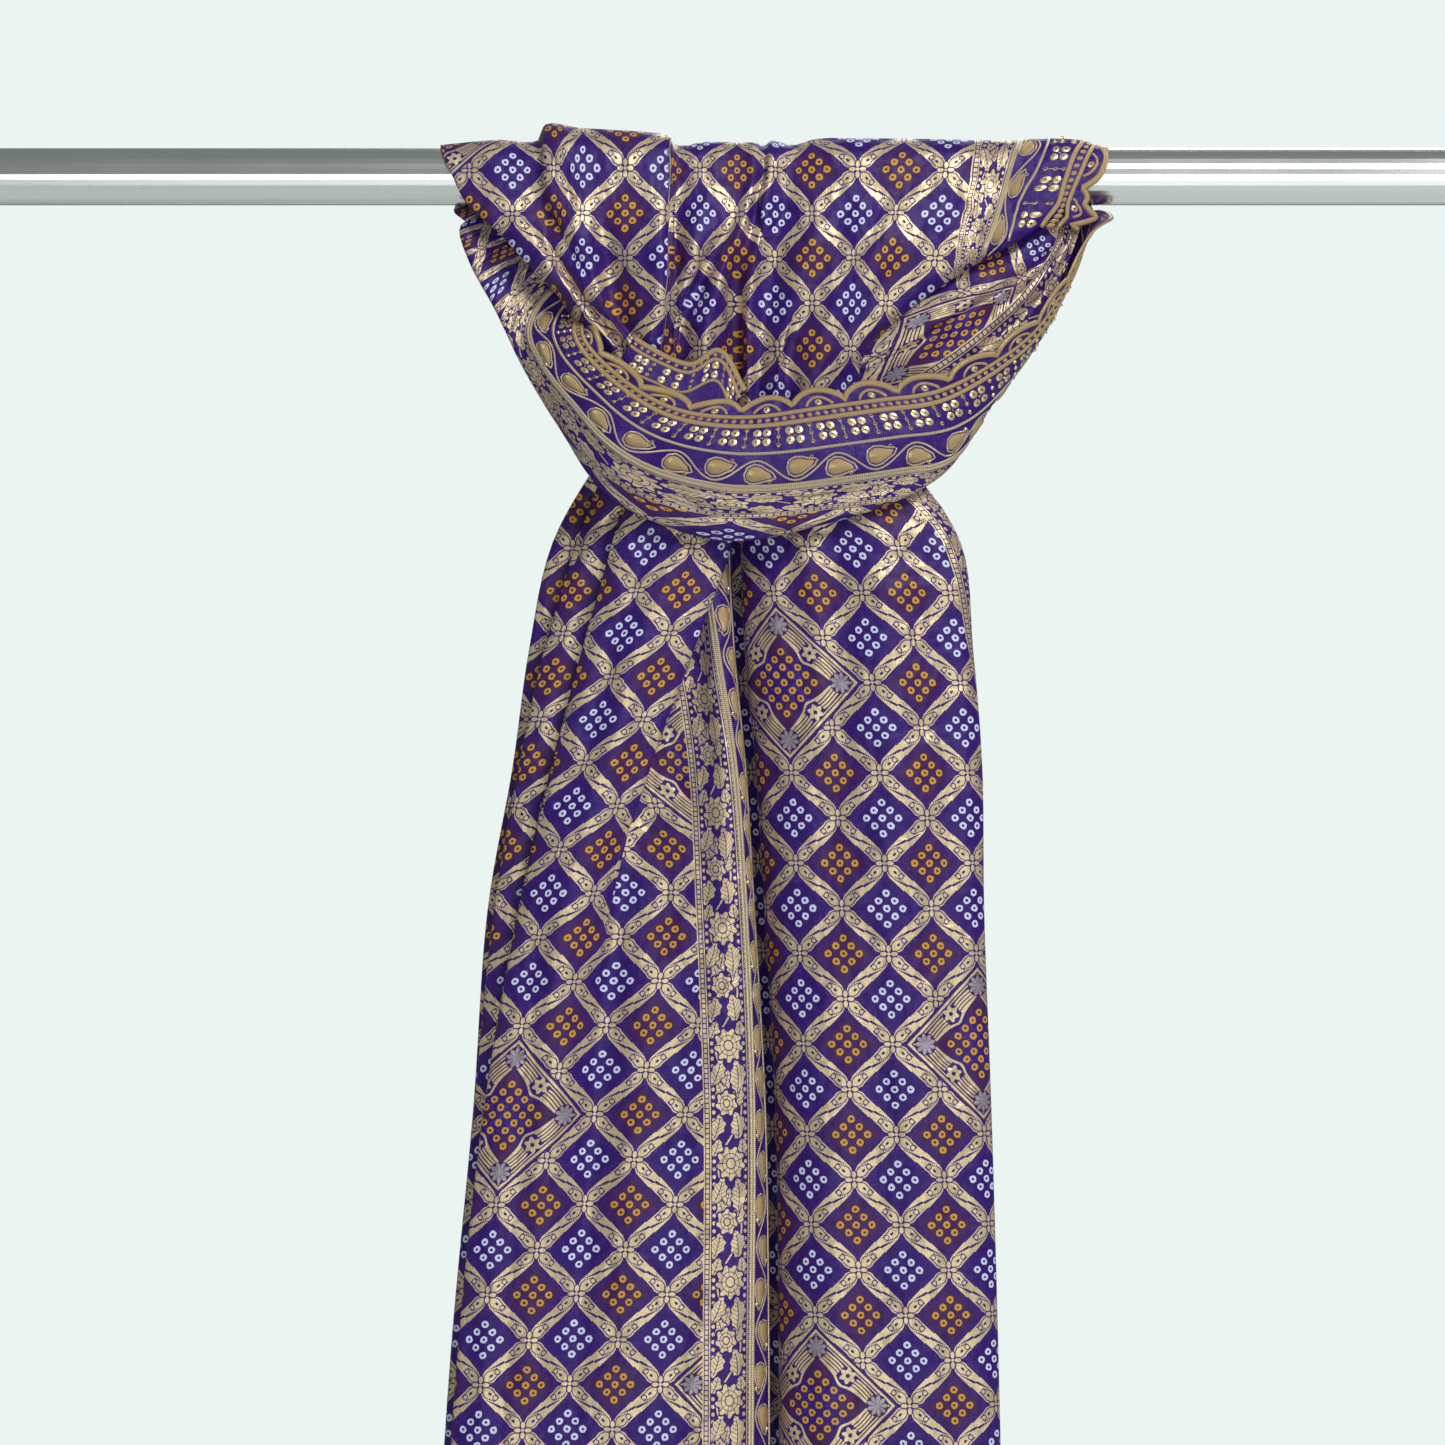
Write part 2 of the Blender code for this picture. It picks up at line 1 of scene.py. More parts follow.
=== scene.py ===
"""A violet brocade dupatta hitched on a steel rod: its looks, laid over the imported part's frame.

Tables are in millimetres, like the part's own, and the rod's axis is the origin. Front is towards -Y.
"""

import bisect
import math

import bpy
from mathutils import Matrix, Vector


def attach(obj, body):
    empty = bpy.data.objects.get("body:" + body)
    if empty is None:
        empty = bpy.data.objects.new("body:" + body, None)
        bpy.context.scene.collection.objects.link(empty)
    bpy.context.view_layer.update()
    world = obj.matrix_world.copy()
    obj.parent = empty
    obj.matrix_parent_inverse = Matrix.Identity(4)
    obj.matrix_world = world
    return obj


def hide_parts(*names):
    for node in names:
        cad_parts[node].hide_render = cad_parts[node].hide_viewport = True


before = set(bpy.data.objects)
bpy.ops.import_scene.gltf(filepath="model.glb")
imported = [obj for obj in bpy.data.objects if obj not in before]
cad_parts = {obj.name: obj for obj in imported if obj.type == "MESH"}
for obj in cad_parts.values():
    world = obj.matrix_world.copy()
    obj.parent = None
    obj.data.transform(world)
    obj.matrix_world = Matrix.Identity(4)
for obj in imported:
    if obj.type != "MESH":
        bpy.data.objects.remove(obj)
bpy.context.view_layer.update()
MM = 0.001

# The view and the soft studio light.
# The camera stands straight in front at the height of the cloth's middle, as the photo's did.

VIEW_DISTANCE = 3.4
VIEW_HEIGHT = -0.3056
VIEW_WIDTH = 0.8092
SENSOR = 36.0

eye = bpy.data.objects.new("view", bpy.data.cameras.new("view"))
eye.location = (0.0, -VIEW_DISTANCE, VIEW_HEIGHT)
eye.rotation_euler = (math.pi / 2, 0.0, 0.0)
eye.data.sensor_width = SENSOR
eye.data.sensor_fit = "HORIZONTAL"
eye.data.lens = SENSOR * VIEW_DISTANCE / VIEW_WIDTH
eye.data.clip_end = 50.0
bpy.context.scene.collection.objects.link(eye)
bpy.context.scene.camera = eye
bpy.context.scene.view_settings.view_transform = "Standard"

PALE = (0.83, 0.905, 0.88)
air = bpy.data.worlds.new("pale_air")
air.use_nodes = True
AIR_LIGHT = 0.23  # how much of the backdrop's brightness lights the cloth
backdrop = air.node_tree.nodes["Background"]
backdrop.inputs["Color"].default_value = (*PALE, 1.0)
seen = air.node_tree.nodes.new("ShaderNodeLightPath")
dimmed = air.node_tree.nodes.new("ShaderNodeMapRange")
dimmed.inputs["To Min"].default_value = AIR_LIGHT
dimmed.inputs["To Max"].default_value = 1.0
air.node_tree.links.new(seen.outputs["Is Camera Ray"], dimmed.inputs["Value"])
air.node_tree.links.new(dimmed.outputs["Result"], backdrop.inputs["Strength"])
bpy.context.scene.world = air


def softbox(name, place, target, size, power):
    """A wide lamp at a place, turned to a target."""
    lamp = bpy.data.objects.new(name, bpy.data.lights.new(name, "AREA"))
    lamp.data.shape = "RECTANGLE"
    lamp.data.size = size[0]
    lamp.data.size_y = size[1]
    lamp.data.energy = power
    lamp.location = place
    lamp.rotation_euler = (Vector(target) - Vector(place)).to_track_quat("-Z", "Y").to_euler()
    bpy.context.scene.collection.objects.link(lamp)


softbox("key_light", place=(1.1, -2.0, 1.6), target=(0.0, 0.0, -0.3), size=(1.1, 1.1), power=45.0)
softbox("front_panel", place=(0.4, -4.3, -1.1), target=(0.0, 0.0, -0.1), size=(2.8, 2.0), power=40.0)
softbox("back_light", place=(0.6, 2.6, 1.2), target=(0.0, 0.0, -0.4), size=(1.5, 1.5), power=34.0)


class Thread:
    """A socket in a material's nodes. Sums on it add Math nodes, and comparisons give 1 or 0."""

    def __init__(self, tree, socket=None):
        self.tree = tree
        self.socket = socket

    def node(self, kind, settings, values, output=0):
        """A node of this kind, with its settings and the values or links of its sockets."""
        made = self.tree.nodes.new(kind)
        for name, value in settings.items():
            setattr(made, name, value)
        for key, value in values.items():
            if isinstance(value, Thread):
                self.tree.links.new(value.socket, made.inputs[key])
            else:
                made.inputs[key].default_value = value
        return Thread(self.tree, made.outputs[output])

    def sum(self, operation, *others):
        """A Math node on this value and others."""
        values = {0: self}
        for place, other in enumerate(others):
            values[place + 1] = other
        return self.node("ShaderNodeMath", {"operation": operation}, values)

    def __add__(self, other):
        return self.sum("ADD", other)

    __radd__ = __add__

    def __sub__(self, other):
        return self.sum("SUBTRACT", other)

    def __rsub__(self, other):
        return (self * -1.0) + other

    def __mul__(self, other):
        return self.sum("MULTIPLY", other)

    __rmul__ = __mul__

    def __truediv__(self, other):
        return self.sum("DIVIDE", other)

    def __rtruediv__(self, other):
        return self.sum("POWER", -1.0) * other

    def __neg__(self):
        return self * -1.0

    def __abs__(self):
        return self.sum("ABSOLUTE")

    def __lt__(self, other):
        return self.sum("LESS_THAN", other)

    def __gt__(self, other):
        return self.sum("GREATER_THAN", other)

    def least(self, other):
        return self.sum("MINIMUM", other)

    def most(self, other):
        return self.sum("MAXIMUM", other)

    def soft(self, low, high):
        """0 below low and 1 above high, with a smooth rise between."""
        settings = {"interpolation_type": "SMOOTHSTEP"}
        return self.node("ShaderNodeMapRange", settings, {"Value": self, "From Min": low, "From Max": high})

    def choose(self, other, share):
        """This value where share is 0, and the other where it is 1."""
        return self + (other - self) * share

    def split(self):
        """The three parts of a place."""
        parts = self.node("ShaderNodeSeparateXYZ", {}, {0: self})
        return [Thread(self.tree, socket) for socket in parts.socket.node.outputs]

    def mix(self, low, high):
        """A colour between two, by this share."""
        settings = {"data_type": "RGBA"}
        return self.node("ShaderNodeMix", settings, {"Factor": self, 6: low, 7: high}, 2)

    def tint(self, share, colour):
        """This colour mixed with another by a share."""
        return share.mix(self, colour)

    def lengths(self, name):
        """The pair of lengths that a mesh keeps in this map."""
        return self.node("ShaderNodeUVMap", {"uv_map": name}, {})

    def noise(self, scale, detail=2.0, dimensions="2D"):
        """Soft uneven spots over this place."""
        values = {"Vector": self, "Scale": scale, "Detail": detail}
        return self.node("ShaderNodeTexNoise", {"noise_dimensions": dimensions}, values)

    def bump(self, strength, distance, over=None):
        """The surface raised by this height, over another bump where there is one."""
        values = {"Strength": strength, "Distance": distance, "Height": self}
        if over is not None:
            values["Normal"] = over
        return self.node("ShaderNodeBump", {}, values)


def new_finish(name, roughness, metallic=0.0, sheen=0.0):
    """A new material with its shader, and a thread to start its nodes from."""
    made = bpy.data.materials.new(name)
    made.use_nodes = True
    shader = made.node_tree.nodes["Principled BSDF"]
    shader.inputs["Roughness"].default_value = roughness
    shader.inputs["Metallic"].default_value = metallic
    shader.inputs["Sheen Weight"].default_value = sheen
    return made, shader, Thread(made.node_tree)


def wire_to(thread, shader, socket):
    """Leads a thread into one of the shader's sockets."""
    thread.tree.links.new(thread.socket, shader.inputs[socket])


# The floor is a wide pale disc, far enough below the cloth that the front view doesn't meet it.

FLOOR_DROP = 1.2
FLOOR_RADIUS = 1.6
bpy.ops.mesh.primitive_circle_add(vertices=96, radius=FLOOR_RADIUS, fill_type="NGON")
floor = bpy.context.active_object
floor.name = "floor"
floor.location.z = -FLOOR_DROP
floor_finish, floor_shader, start = new_finish("pale_floor", 0.8)
grain = start.node("ShaderNodeTexNoise", {}, {"Scale": 3.0})
floor_tone = grain.mix((0.88, 0.93, 0.91, 1.0), (0.9, 0.95, 0.93, 1.0))
wire_to(floor_tone, floor_shader, "Base Color")
floor.data.materials.append(floor_finish)

# The rod is a polished steel tube, with very fine lines drawn along it.
# The part's own solid is kept, and only its finish is made here.

steel, steel_shader, start = new_finish("drawn_steel", 0.24, metallic=1.0)
OBJECT_PLACE = 3  # the output of Texture Coordinate that holds the object's own place
place = start.node("ShaderNodeTexCoord", {}, {}, OBJECT_PLACE)
drawn = start.node("ShaderNodeMapping", {}, {"Vector": place, "Scale": (3.0, 900.0, 900.0)})
lines = drawn.noise(1.0, 3.0, "3D")
worn = place.noise(14.0, 4.0, "3D")
steel_tone = lines.mix((0.8, 0.82, 0.81, 1.0), (0.92, 0.94, 0.93, 1.0))
wire_to(steel_tone, steel_shader, "Base Color")
wire_to(worn * 0.14 + 0.18, steel_shader, "Roughness")
wire_to(lines.bump(0.05, 0.0002), steel_shader, "Normal")
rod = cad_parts["rod"]
for slot in rod.material_slots:
    slot.material = steel

# The silk brocade. Its pattern is woven: a lattice of paired leaves with small flowers where they cross,
# tied dots in each diamond, a medallion now and then, and a border of leaves and marigolds by the edge.
# The map "edge" holds the distance from the lace edge and the way along it, "field" the lattice's own
# lengths, and "medallion" those from the nearest medallion's middle, where "near_medallion" is above 0.

DIAGONAL = 50.0  # of a diamond, both ways
SIDE = DIAGONAL / math.sqrt(2)
LEAF_WIDEST = 10.8  # from the middle of a diamond's side
LEAF_ROUND = 4.2
LEAF_HALF_WIDTH = 3.75
DOT_STEP = 0.1725  # of a diamond's side
DOT_RADIUS = 2.0
DOT_HOLE = 0.75
MEDALLION_HALF = 44.0
FAN_AT = 32.0  # from the medallion's middle to the fans in its corners
FAN_REACH = 6.2
SIDE_FLOWER_AT = 16.5
BORDER_START = 42.0
BORDER_END = 77.0
BEAD_LINE = 5.0
BEAD_PITCH = 2.8
BORDER_REPEAT = 66.0

brocade, brocade_shader, start = new_finish("violet_brocade", 0.5, sheen=0.1)
brocade_shader.inputs["Sheen Roughness"].default_value = 0.4
brocade_shader.inputs["Sheen Tint"].default_value = (0.5, 0.35, 0.9, 1.0)
brocade_shader.inputs["Specular IOR Level"].default_value = 0.35
field_map = start.lengths("field")
u, v, _ = start.lengths("edge").split()
p, q, _ = field_map.split()
from_p, from_q, _ = start.lengths("medallion").split()
near_medallion, _, _ = start.lengths("near_medallion").split()


def length(x, y):
    """The distance from a middle, by its two parts."""
    return (x * x + y * y).sum("SQRT")


def wrapped(value, period):
    """The distance to the nearest whole period, with its sign."""
    return value - (value / period).sum("ROUND") * period


# Lattice coordinates: whole numbers are where leaves cross
a = (p + q) / DIAGONAL
b = (q - p) / DIAGONAL
near_a = a - a.sum("ROUND")
near_b = b - b.sum("ROUND")
cell_a = a.sum("FRACT") - 0.5
cell_b = b.sum("FRACT") - 0.5

# A medallion takes the place of two by two diamonds
med_p = abs(from_p)
med_q = abs(from_q)
med_sum = med_p + med_q
med_skew = abs(med_p - med_q)
in_medallion = (med_sum < MEDALLION_HALF) * (near_medallion > 0.5)

# The paired leaves of each side of a diamond, turned half round about its middle
on_a = abs(near_a) < abs(near_b)
across_side = near_b.choose(near_a, on_a) * SIDE
along_side = cell_a.choose(cell_b, on_a) * SIDE
facing = along_side.sum("SIGN")
leaf_s = abs(along_side)
leaf_t = across_side * facing
bend = (9.0 - leaf_s).most(0.0) * 0.22
head = (leaf_s - LEAF_WIDEST).most(0.0) / LEAF_ROUND
leaf_wide = LEAF_HALF_WIDTH - (LEAF_WIDEST - leaf_s).most(0.0) * 0.2
leaf_wide = leaf_wide * (1.0 - head * head).most(0.0).sum("SQRT")
teeth = abs((leaf_s * 0.8).sum("FRACT") - 0.5) * 1.1 * (leaf_s < 9.0) * (leaf_t < 0.0)
leaf_edge = abs(leaf_t - bend) - leaf_wide + teeth
tail_edge = abs(leaf_t + 2.6 + leaf_s * 0.12) - (1.5 - leaf_s * 0.13)
leaf = (leaf_edge < 0.0).most(tail_edge < 0.0)
leaf_line = (abs(leaf_edge + 1.0) < 0.3) * (leaf_s > 5.0)
eye_spot = length(leaf_s - 10.3, (leaf_t - 0.3) * 1.7) < 1.15
eye_ring = abs(length(leaf_s - 6.6, leaf_t - 0.9) - 1.35) < 0.28
leaf = leaf * (1.0 - leaf_line.most(eye_spot).most(eye_ring))

# The small flower where four leaves meet
node_p = abs(near_a - near_b) * (DIAGONAL / 2)
node_q = abs(near_a + near_b) * (DIAGONAL / 2)
petal_long = node_p.most(node_q)
petal_side = node_p.least(node_q)
petal = length((petal_long - 2.9) / 2.1, petal_side / 1.35)
flower = petal < 0.86
flower_ring = petal < 1.2
flower_heart = length(node_p, node_q)
leaf = leaf * (1.0 - flower_ring) * (flower_heart > 1.5)
leaf = leaf.most(flower).most(flower_heart < 0.85)
leaf = leaf * (1.0 - in_medallion)

# Tied dots: nine in a diamond, twenty-five in a medallion
dots_a = cell_a.choose(near_a, in_medallion)
dots_b = cell_b.choose(near_b, in_medallion)
most_dots = in_medallion + 1.0
step_a = (dots_a / DOT_STEP).sum("ROUND").least(most_dots).most(-most_dots)
step_b = (dots_b / DOT_STEP).sum("ROUND").least(most_dots).most(-most_dots)
tie_shape = field_map.noise(0.45)
from_dot = length(dots_a - step_a * DOT_STEP, dots_b - step_b * DOT_STEP) * SIDE + (tie_shape - 0.5) * 0.9
dot = (from_dot < DOT_RADIUS) * (from_dot > DOT_HOLE) * (med_sum > MEDALLION_HALF).most(med_sum < 24.0)
ochre_row = abs(((a.sum("FLOOR") + b.sum("FLOOR")) * 0.5).sum("FRACT")) < 0.25
ochre = ochre_row.most(in_medallion)

# The medallion's frame: an ogee line inside, plain lines outside, fans in its corners, flowers on its sides
ogee = med_sum + 5.0 / (1.0 + med_skew * med_skew * 0.02)
frame_line = (abs(ogee - 28.5) < 1.0).most(abs(med_sum - 41.0) < 1.0).most(abs(med_sum - 38.4) < 0.5)
ribs = (abs((ogee * 0.4 + med_skew * 0.05).sum("FRACT") - 0.5) < 0.31) * (ogee > 29.0)
ribs = ribs * (med_sum < 37.0) * (med_skew > 7.0)
tip = med_p.most(med_q)
tip_side = med_p.least(med_q)
fan = length(tip - FAN_AT, tip_side)
fan_turn = (tip - FAN_AT).sum("ARCTAN2", tip_side)
fan_leaf = fan - 5.0 - (fan_turn * 9.0).sum("SINE") * 0.9
side_flower = length(med_p - SIDE_FLOWER_AT, med_q - SIDE_FLOWER_AT)
side_turn = (med_p - SIDE_FLOWER_AT).sum("ARCTAN2", med_q - SIDE_FLOWER_AT)
side_petals = (side_flower < 3.9 + (side_turn * 6.0).sum("SINE") * 0.8) * (side_flower > 1.2)
medallion = frame_line.most(ribs) * (fan > FAN_REACH) * (side_flower > 4.6)
fan_drawn = abs((fan_turn * 4.5 + 0.8).sum("SINE")) > 0.24
medallion = medallion.most((fan_leaf < 0.0) * fan_drawn.most(fan < 1.6)).most(side_petals) * in_medallion
field_zari = leaf.most(medallion)

# The border between its two bead lines: a scrolling stem with marigolds, fan leaves and small dots
band = u - (BORDER_START + BEAD_LINE)
band_wide = BORDER_END - BORDER_START - 2 * BEAD_LINE
turn_at = (v / BORDER_REPEAT).sum("FRACT") * BORDER_REPEAT
middle = band_wide / 2


def blossom(at_v, at_u, radius, petals, lines):
    """A round flower with lobed petals drawn by thin lines, and the round it takes."""
    away = length(turn_at - at_v, band - at_u)
    angle = (turn_at - at_v).sum("ARCTAN2", band - at_u)
    lobes = away - radius - (angle * petals).sum("SINE") * radius * 0.13
    drawn = (abs((angle * (petals / 2)).sum("SINE")) < lines) * (away > radius * 0.36)
    drawn = drawn.most(abs(away - radius * 0.34) < 0.35).most(abs(away - radius * 0.66) < 0.22)
    return (lobes < 0.0) * (1.0 - drawn), lobes < 1.2


def leaf_blade(at_v, at_u, reach, lean, wide):
    """A lobed leaf from a place in the band along a lean, with its vein, and the round it takes."""
    turned_v = (turn_at - at_v) * math.cos(lean) + (band - at_u) * math.sin(lean)
    turned_u = (band - at_u) * math.cos(lean) - (turn_at - at_v) * math.sin(lean)
    bent_u = turned_u - turned_v * turned_v * 0.018
    share = (turned_v / reach).least(1.0).most(0.0)
    outline = (share * math.pi).sum("SINE") * wide + (turned_v * 1.5).sum("SINE") * 0.55
    inside = abs(bent_u) - outline
    on = (turned_v > 0.0) * (turned_v < reach)
    vein = (abs(bent_u) < 0.28) * (turned_v > reach * 0.15)
    ribs = abs(((turned_v + abs(bent_u) * 0.8) * 0.42).sum("FRACT") - 0.5) < 0.08
    ribs = ribs * (abs(bent_u) < wide * 0.8)
    return (inside < 0.0) * on * (1.0 - vein.most(ribs * 0.9)), (inside < 0.9) * on


floral, covered = blossom(14.0, 12.0, 8.6, 9.0, 0.17)
for shape, round_it in (
    blossom(46.5, 14.5, 6.4, 7.0, 0.18),
    leaf_blade(22.5, 8.0, 18.0, -0.35, 5.4),
    leaf_blade(21.5, 17.5, 17.0, 0.12, 4.4),
    leaf_blade(36.0, 4.5, 18.0, 0.2, 4.2),
    leaf_blade(35.0, 20.0, 10.0, -0.5, 3.6),
    leaf_blade(51.5, 9.0, 15.5, -0.4, 5.0),
    leaf_blade(52.5, 19.0, 14.5, 0.05, 4.4),
    leaf_blade(0.6, 19.8, 10.0, 0.2, 3.6),
    leaf_blade(0.4, 4.5, 10.0, -0.2, 3.6),
    leaf_blade(28.0, 13.0, 13.0, 0.1, 3.2),
):
    floral = floral.most(shape * (1.0 - covered))
    covered = covered.most(round_it)
stem = abs(band - middle - (v / BORDER_REPEAT * math.tau).sum("SINE") * 8.0) < 0.6
small_dots = length(wrapped(turn_at, 4.3), (abs(band - middle) - middle + 1.9)) < 1.15
floral = floral.most(stem.most(small_dots) * (1.0 - covered))
twill = abs(((turn_at + band) * 0.9).sum("FRACT") - 0.5)
floral = floral * (band > 0.6) * (band < band_wide - 0.6)

# The bead lines: a row of small squares between two thin lines
bead_u = (band + BEAD_LINE / 2).choose(band - band_wide - BEAD_LINE / 2, band > band_wide / 2)
rail = abs(abs(bead_u) - 2.1) < 0.42
bead = abs(bead_u).most(abs(wrapped(v, BEAD_PITCH)))
bead_line = rail.most(bead < 1.08)

border_zari = floral.most(bead_line * (abs(bead_u) < 2.6))
zari = field_zari.choose(border_zari, u < BORDER_END)
zari = zari * (u > BORDER_START)

# Its colours: violet silk, darker between diamonds, with a bloom near the gold, and cream-gold thread
VIOLET = (0.032, 0.003, 0.165, 1.0)
VIOLET_PALE = (0.105, 0.045, 0.32, 1.0)
PLUM = (0.075, 0.016, 0.085, 1.0)
ZARI = (0.88, 0.72, 0.46, 1.0)
ZARI_SHADE = (0.74, 0.57, 0.33, 1.0)
SILVER = (0.42, 0.38, 0.43, 1.0)
WHITE_TIE = (0.72, 0.76, 1.0, 1.0)
OCHRE_TIE = (0.72, 0.36, 0.02, 1.0)
in_field = u > BORDER_END
speckle = field_map.noise(0.9, 4.0)
blotch = field_map.noise(0.16, 3.0)
by_gold = (leaf_edge * -1.0 + 5.0).soft(0.0, 5.0)
bloom = speckle.soft(0.47, 0.72) * (by_gold * 0.7 + 0.1) + blotch.soft(0.55, 0.8) * 0.25
ground = bloom.least(0.8).mix(VIOLET, VIOLET_PALE)
plum = ochre * (0.42 - abs(cell_a).most(abs(cell_b))).soft(0.0, 0.2) * in_field
ground = ground.tint(plum * (speckle * 0.8 + 0.3), PLUM)
cloth_tone = ground.tint(dot * in_field, ochre.mix(WHITE_TIE, OCHRE_TIE))
gold_tone = speckle.soft(0.35, 0.7).mix(ZARI_SHADE, ZARI)
gold_tone = gold_tone.tint((fan < FAN_REACH) * in_medallion * in_field, SILVER)
gold_tone = gold_tone.tint((twill < 0.16) * (u < BORDER_END) * 0.55, ZARI_SHADE)
cloth_tone = cloth_tone.tint(zari, gold_tone)
wire_to(cloth_tone, brocade_shader, "Base Color")
wire_to(zari * 0.5, brocade_shader, "Metallic")
wire_to(0.52 - zari * 0.08, brocade_shader, "Roughness")
weave = abs((p * 1.9).sum("SINE")) * abs((q * 1.9 + 0.8).sum("SINE"))
relief = weave * 0.4 + speckle * 0.3
puckers = field_map.noise(0.055).bump(0.8, 0.005)
wire_to(relief.bump(0.4, 0.0003, over=puckers), brocade_shader, "Normal")

# How a stretch of cloth is made: a grid of points smoothed through its fold lines, with creases
# pressed into it, and the lengths along the cloth kept for its pattern and its trims.

CLOTH_SHOWN = 0.7  # the shell's thickness


def between(p0, p1, p2, p3, share):
    """A place from p1 to p2 on a smooth curve through all four, however unevenly they lie."""
    t1 = max((p1 - p0).length, 1e-6) ** 0.5
    t2 = t1 + max((p2 - p1).length, 1e-6) ** 0.5
    t3 = t2 + max((p3 - p2).length, 1e-6) ** 0.5
    t = t1 + (t2 - t1) * share
    a1 = p0.lerp(p1, t / t1)
    a2 = p1.lerp(p2, (t - t1) / (t2 - t1))
    a3 = p2.lerp(p3, (t - t2) / (t3 - t2))
    b1 = a1.lerp(a2, t / t2)
    b2 = a2.lerp(a3, (t - t1) / (t3 - t1))
    return b1.lerp(b2, (t - t1) / (t2 - t1))


def smooth_line(points, steps):
    """A smooth line through points, with a count of steps from each to the next."""
    ends = [points[0] * 2 - points[1]] + list(points) + [points[-1] * 2 - points[-2]]
    line = [points[0].copy()]
    for i, count in enumerate(steps):
        for step in range(1, count + 1):
            line.append(between(*ends[i : i + 4], step / count))
    return line


def smooth_grid(sections, across, along):
    """A fine grid through sections, smooth both ways."""
    fine = [smooth_line(section, across) for section in sections]
    columns = [smooth_line(list(line), along) for line in zip(*fine)]
    return [list(section) for section in zip(*columns)]


class Drape:
    """A stretch of cloth as a grid. Its sections run from the lace edge inwards, one after another.

    u is the length from the lace edge, v the length along the cloth at its reference fold.
    """

    def __init__(self, grid, u_start=0.0, reference=0, flip=1.0):
        self.grid = grid
        self.flip = flip
        self.u = []
        for section in grid:
            lengths = [u_start]
            for one, two in zip(section, section[1:]):
                lengths.append(lengths[-1] + (two - one).length)
            self.u.append(lengths)
        self.v = [0.0]
        for one, two in zip(grid, grid[1:]):
            self.v.append(self.v[-1] + (two[reference] - one[reference]).length)
        self.find_normals()

    def find_normals(self):
        """The way that the cloth's right side faces at each of its points."""
        grid = self.grid
        self.normal = []
        for j in range(len(grid)):
            line = []
            for i in range(len(grid[0])):
                along = grid[min(j + 1, len(grid) - 1)][i] - grid[max(j - 1, 0)][i]
                across = grid[j][min(i + 1, len(grid[0]) - 1)] - grid[j][max(i - 1, 0)]
                line.append(across.cross(along).normalized() * self.flip)
            self.normal.append(line)

    def press(self, creases):
        """Presses creases in where the cloth faces front, or back if they say so.

        Each is a line of (x, z) points with a width and a depth, and a depth below 0 stands out.
        """
        moved = []
        for j, section in enumerate(self.grid):
            for i, point in enumerate(section):
                way = self.normal[j][i]
                push = 0.0
                for crease in creases:
                    facing = way.y if crease.get("back") else -way.y
                    if facing <= 0.1:
                        continue
                    push += pressed_by(crease, point.x, point.z) * min(1.0, facing * 1.5)
                moved.append((j, i, push))
        for j, i, push in moved:
            self.grid[j][i] = self.grid[j][i] - self.normal[j][i] * push
        self.find_normals()

    def edge_at(self, v):
        """How far from the lace edge the cloth starts here, where more is tucked away."""
        return self.u[max(0, min(len(self.v) - 1, bisect.bisect_right(self.v, v) - 1))][0]

    def fan(self, u, v):
        """How long a millimetre of v is here, where the cloth fans out or draws in from its edge."""
        return max(0.5, min(2.0, (self.spot(u, v + 1.0)[0] - self.spot(u, v - 1.0)[0]).length / 2))

    def spot(self, u, v, out=0.0):
        """The point and the normal at these lengths. u below 0 lies beyond the edge."""
        j = max(0, min(len(self.v) - 2, bisect.bisect_right(self.v, v) - 1))
        share = (v - self.v[j]) / (self.v[j + 1] - self.v[j])
        ends = []
        for k in (j, j + 1):
            lengths = self.u[k]
            i = max(0, min(len(lengths) - 2, bisect.bisect_right(lengths, u) - 1))
            part = (u - lengths[i]) / (lengths[i + 1] - lengths[i])
            place = self.grid[k][i].lerp(self.grid[k][i + 1], part)
            ends.append((place, self.normal[k][i].lerp(self.normal[k][i + 1], max(0.0, min(1.0, part)))))
        point = ends[0][0].lerp(ends[1][0], share)
        way = ends[0][1].lerp(ends[1][1], share).normalized()
        return point + way * out, way


def places_along(drape, u, start_at, end_at, pitch):
    """Places along the edge, a pitch apart as the cloth measures at u."""
    places = [start_at]
    while places[-1] < end_at:
        places.append(places[-1] + pitch / drape.fan(u, places[-1]))
    return places


def pressed_by(crease, x, z):
    """How deep a crease goes at a place: most on its line, less beside it and towards its ends."""
    best = None
    line = crease["line"]
    total = len(line) - 1
    for k in range(total):
        ax, az = line[k]
        bx, bz = line[k + 1]
        dx, dz = bx - ax, bz - az
        share = max(0.0, min(1.0, ((x - ax) * dx + (z - az) * dz) / (dx * dx + dz * dz)))
        gap = math.hypot(x - ax - dx * share, z - az - dz * share)
        if best is None or gap < best[0]:
            best = (gap, (k + share) / total)
    gap, way = best
    fade = math.sin(math.pi * (0.06 + way * 0.88)) ** 0.7
    return crease["depth"] * fade * math.exp(-((gap / crease["width"]) ** 2))


MEDALLION_REACH = 62.0
NO_HEM = 999.0  # a length past every border


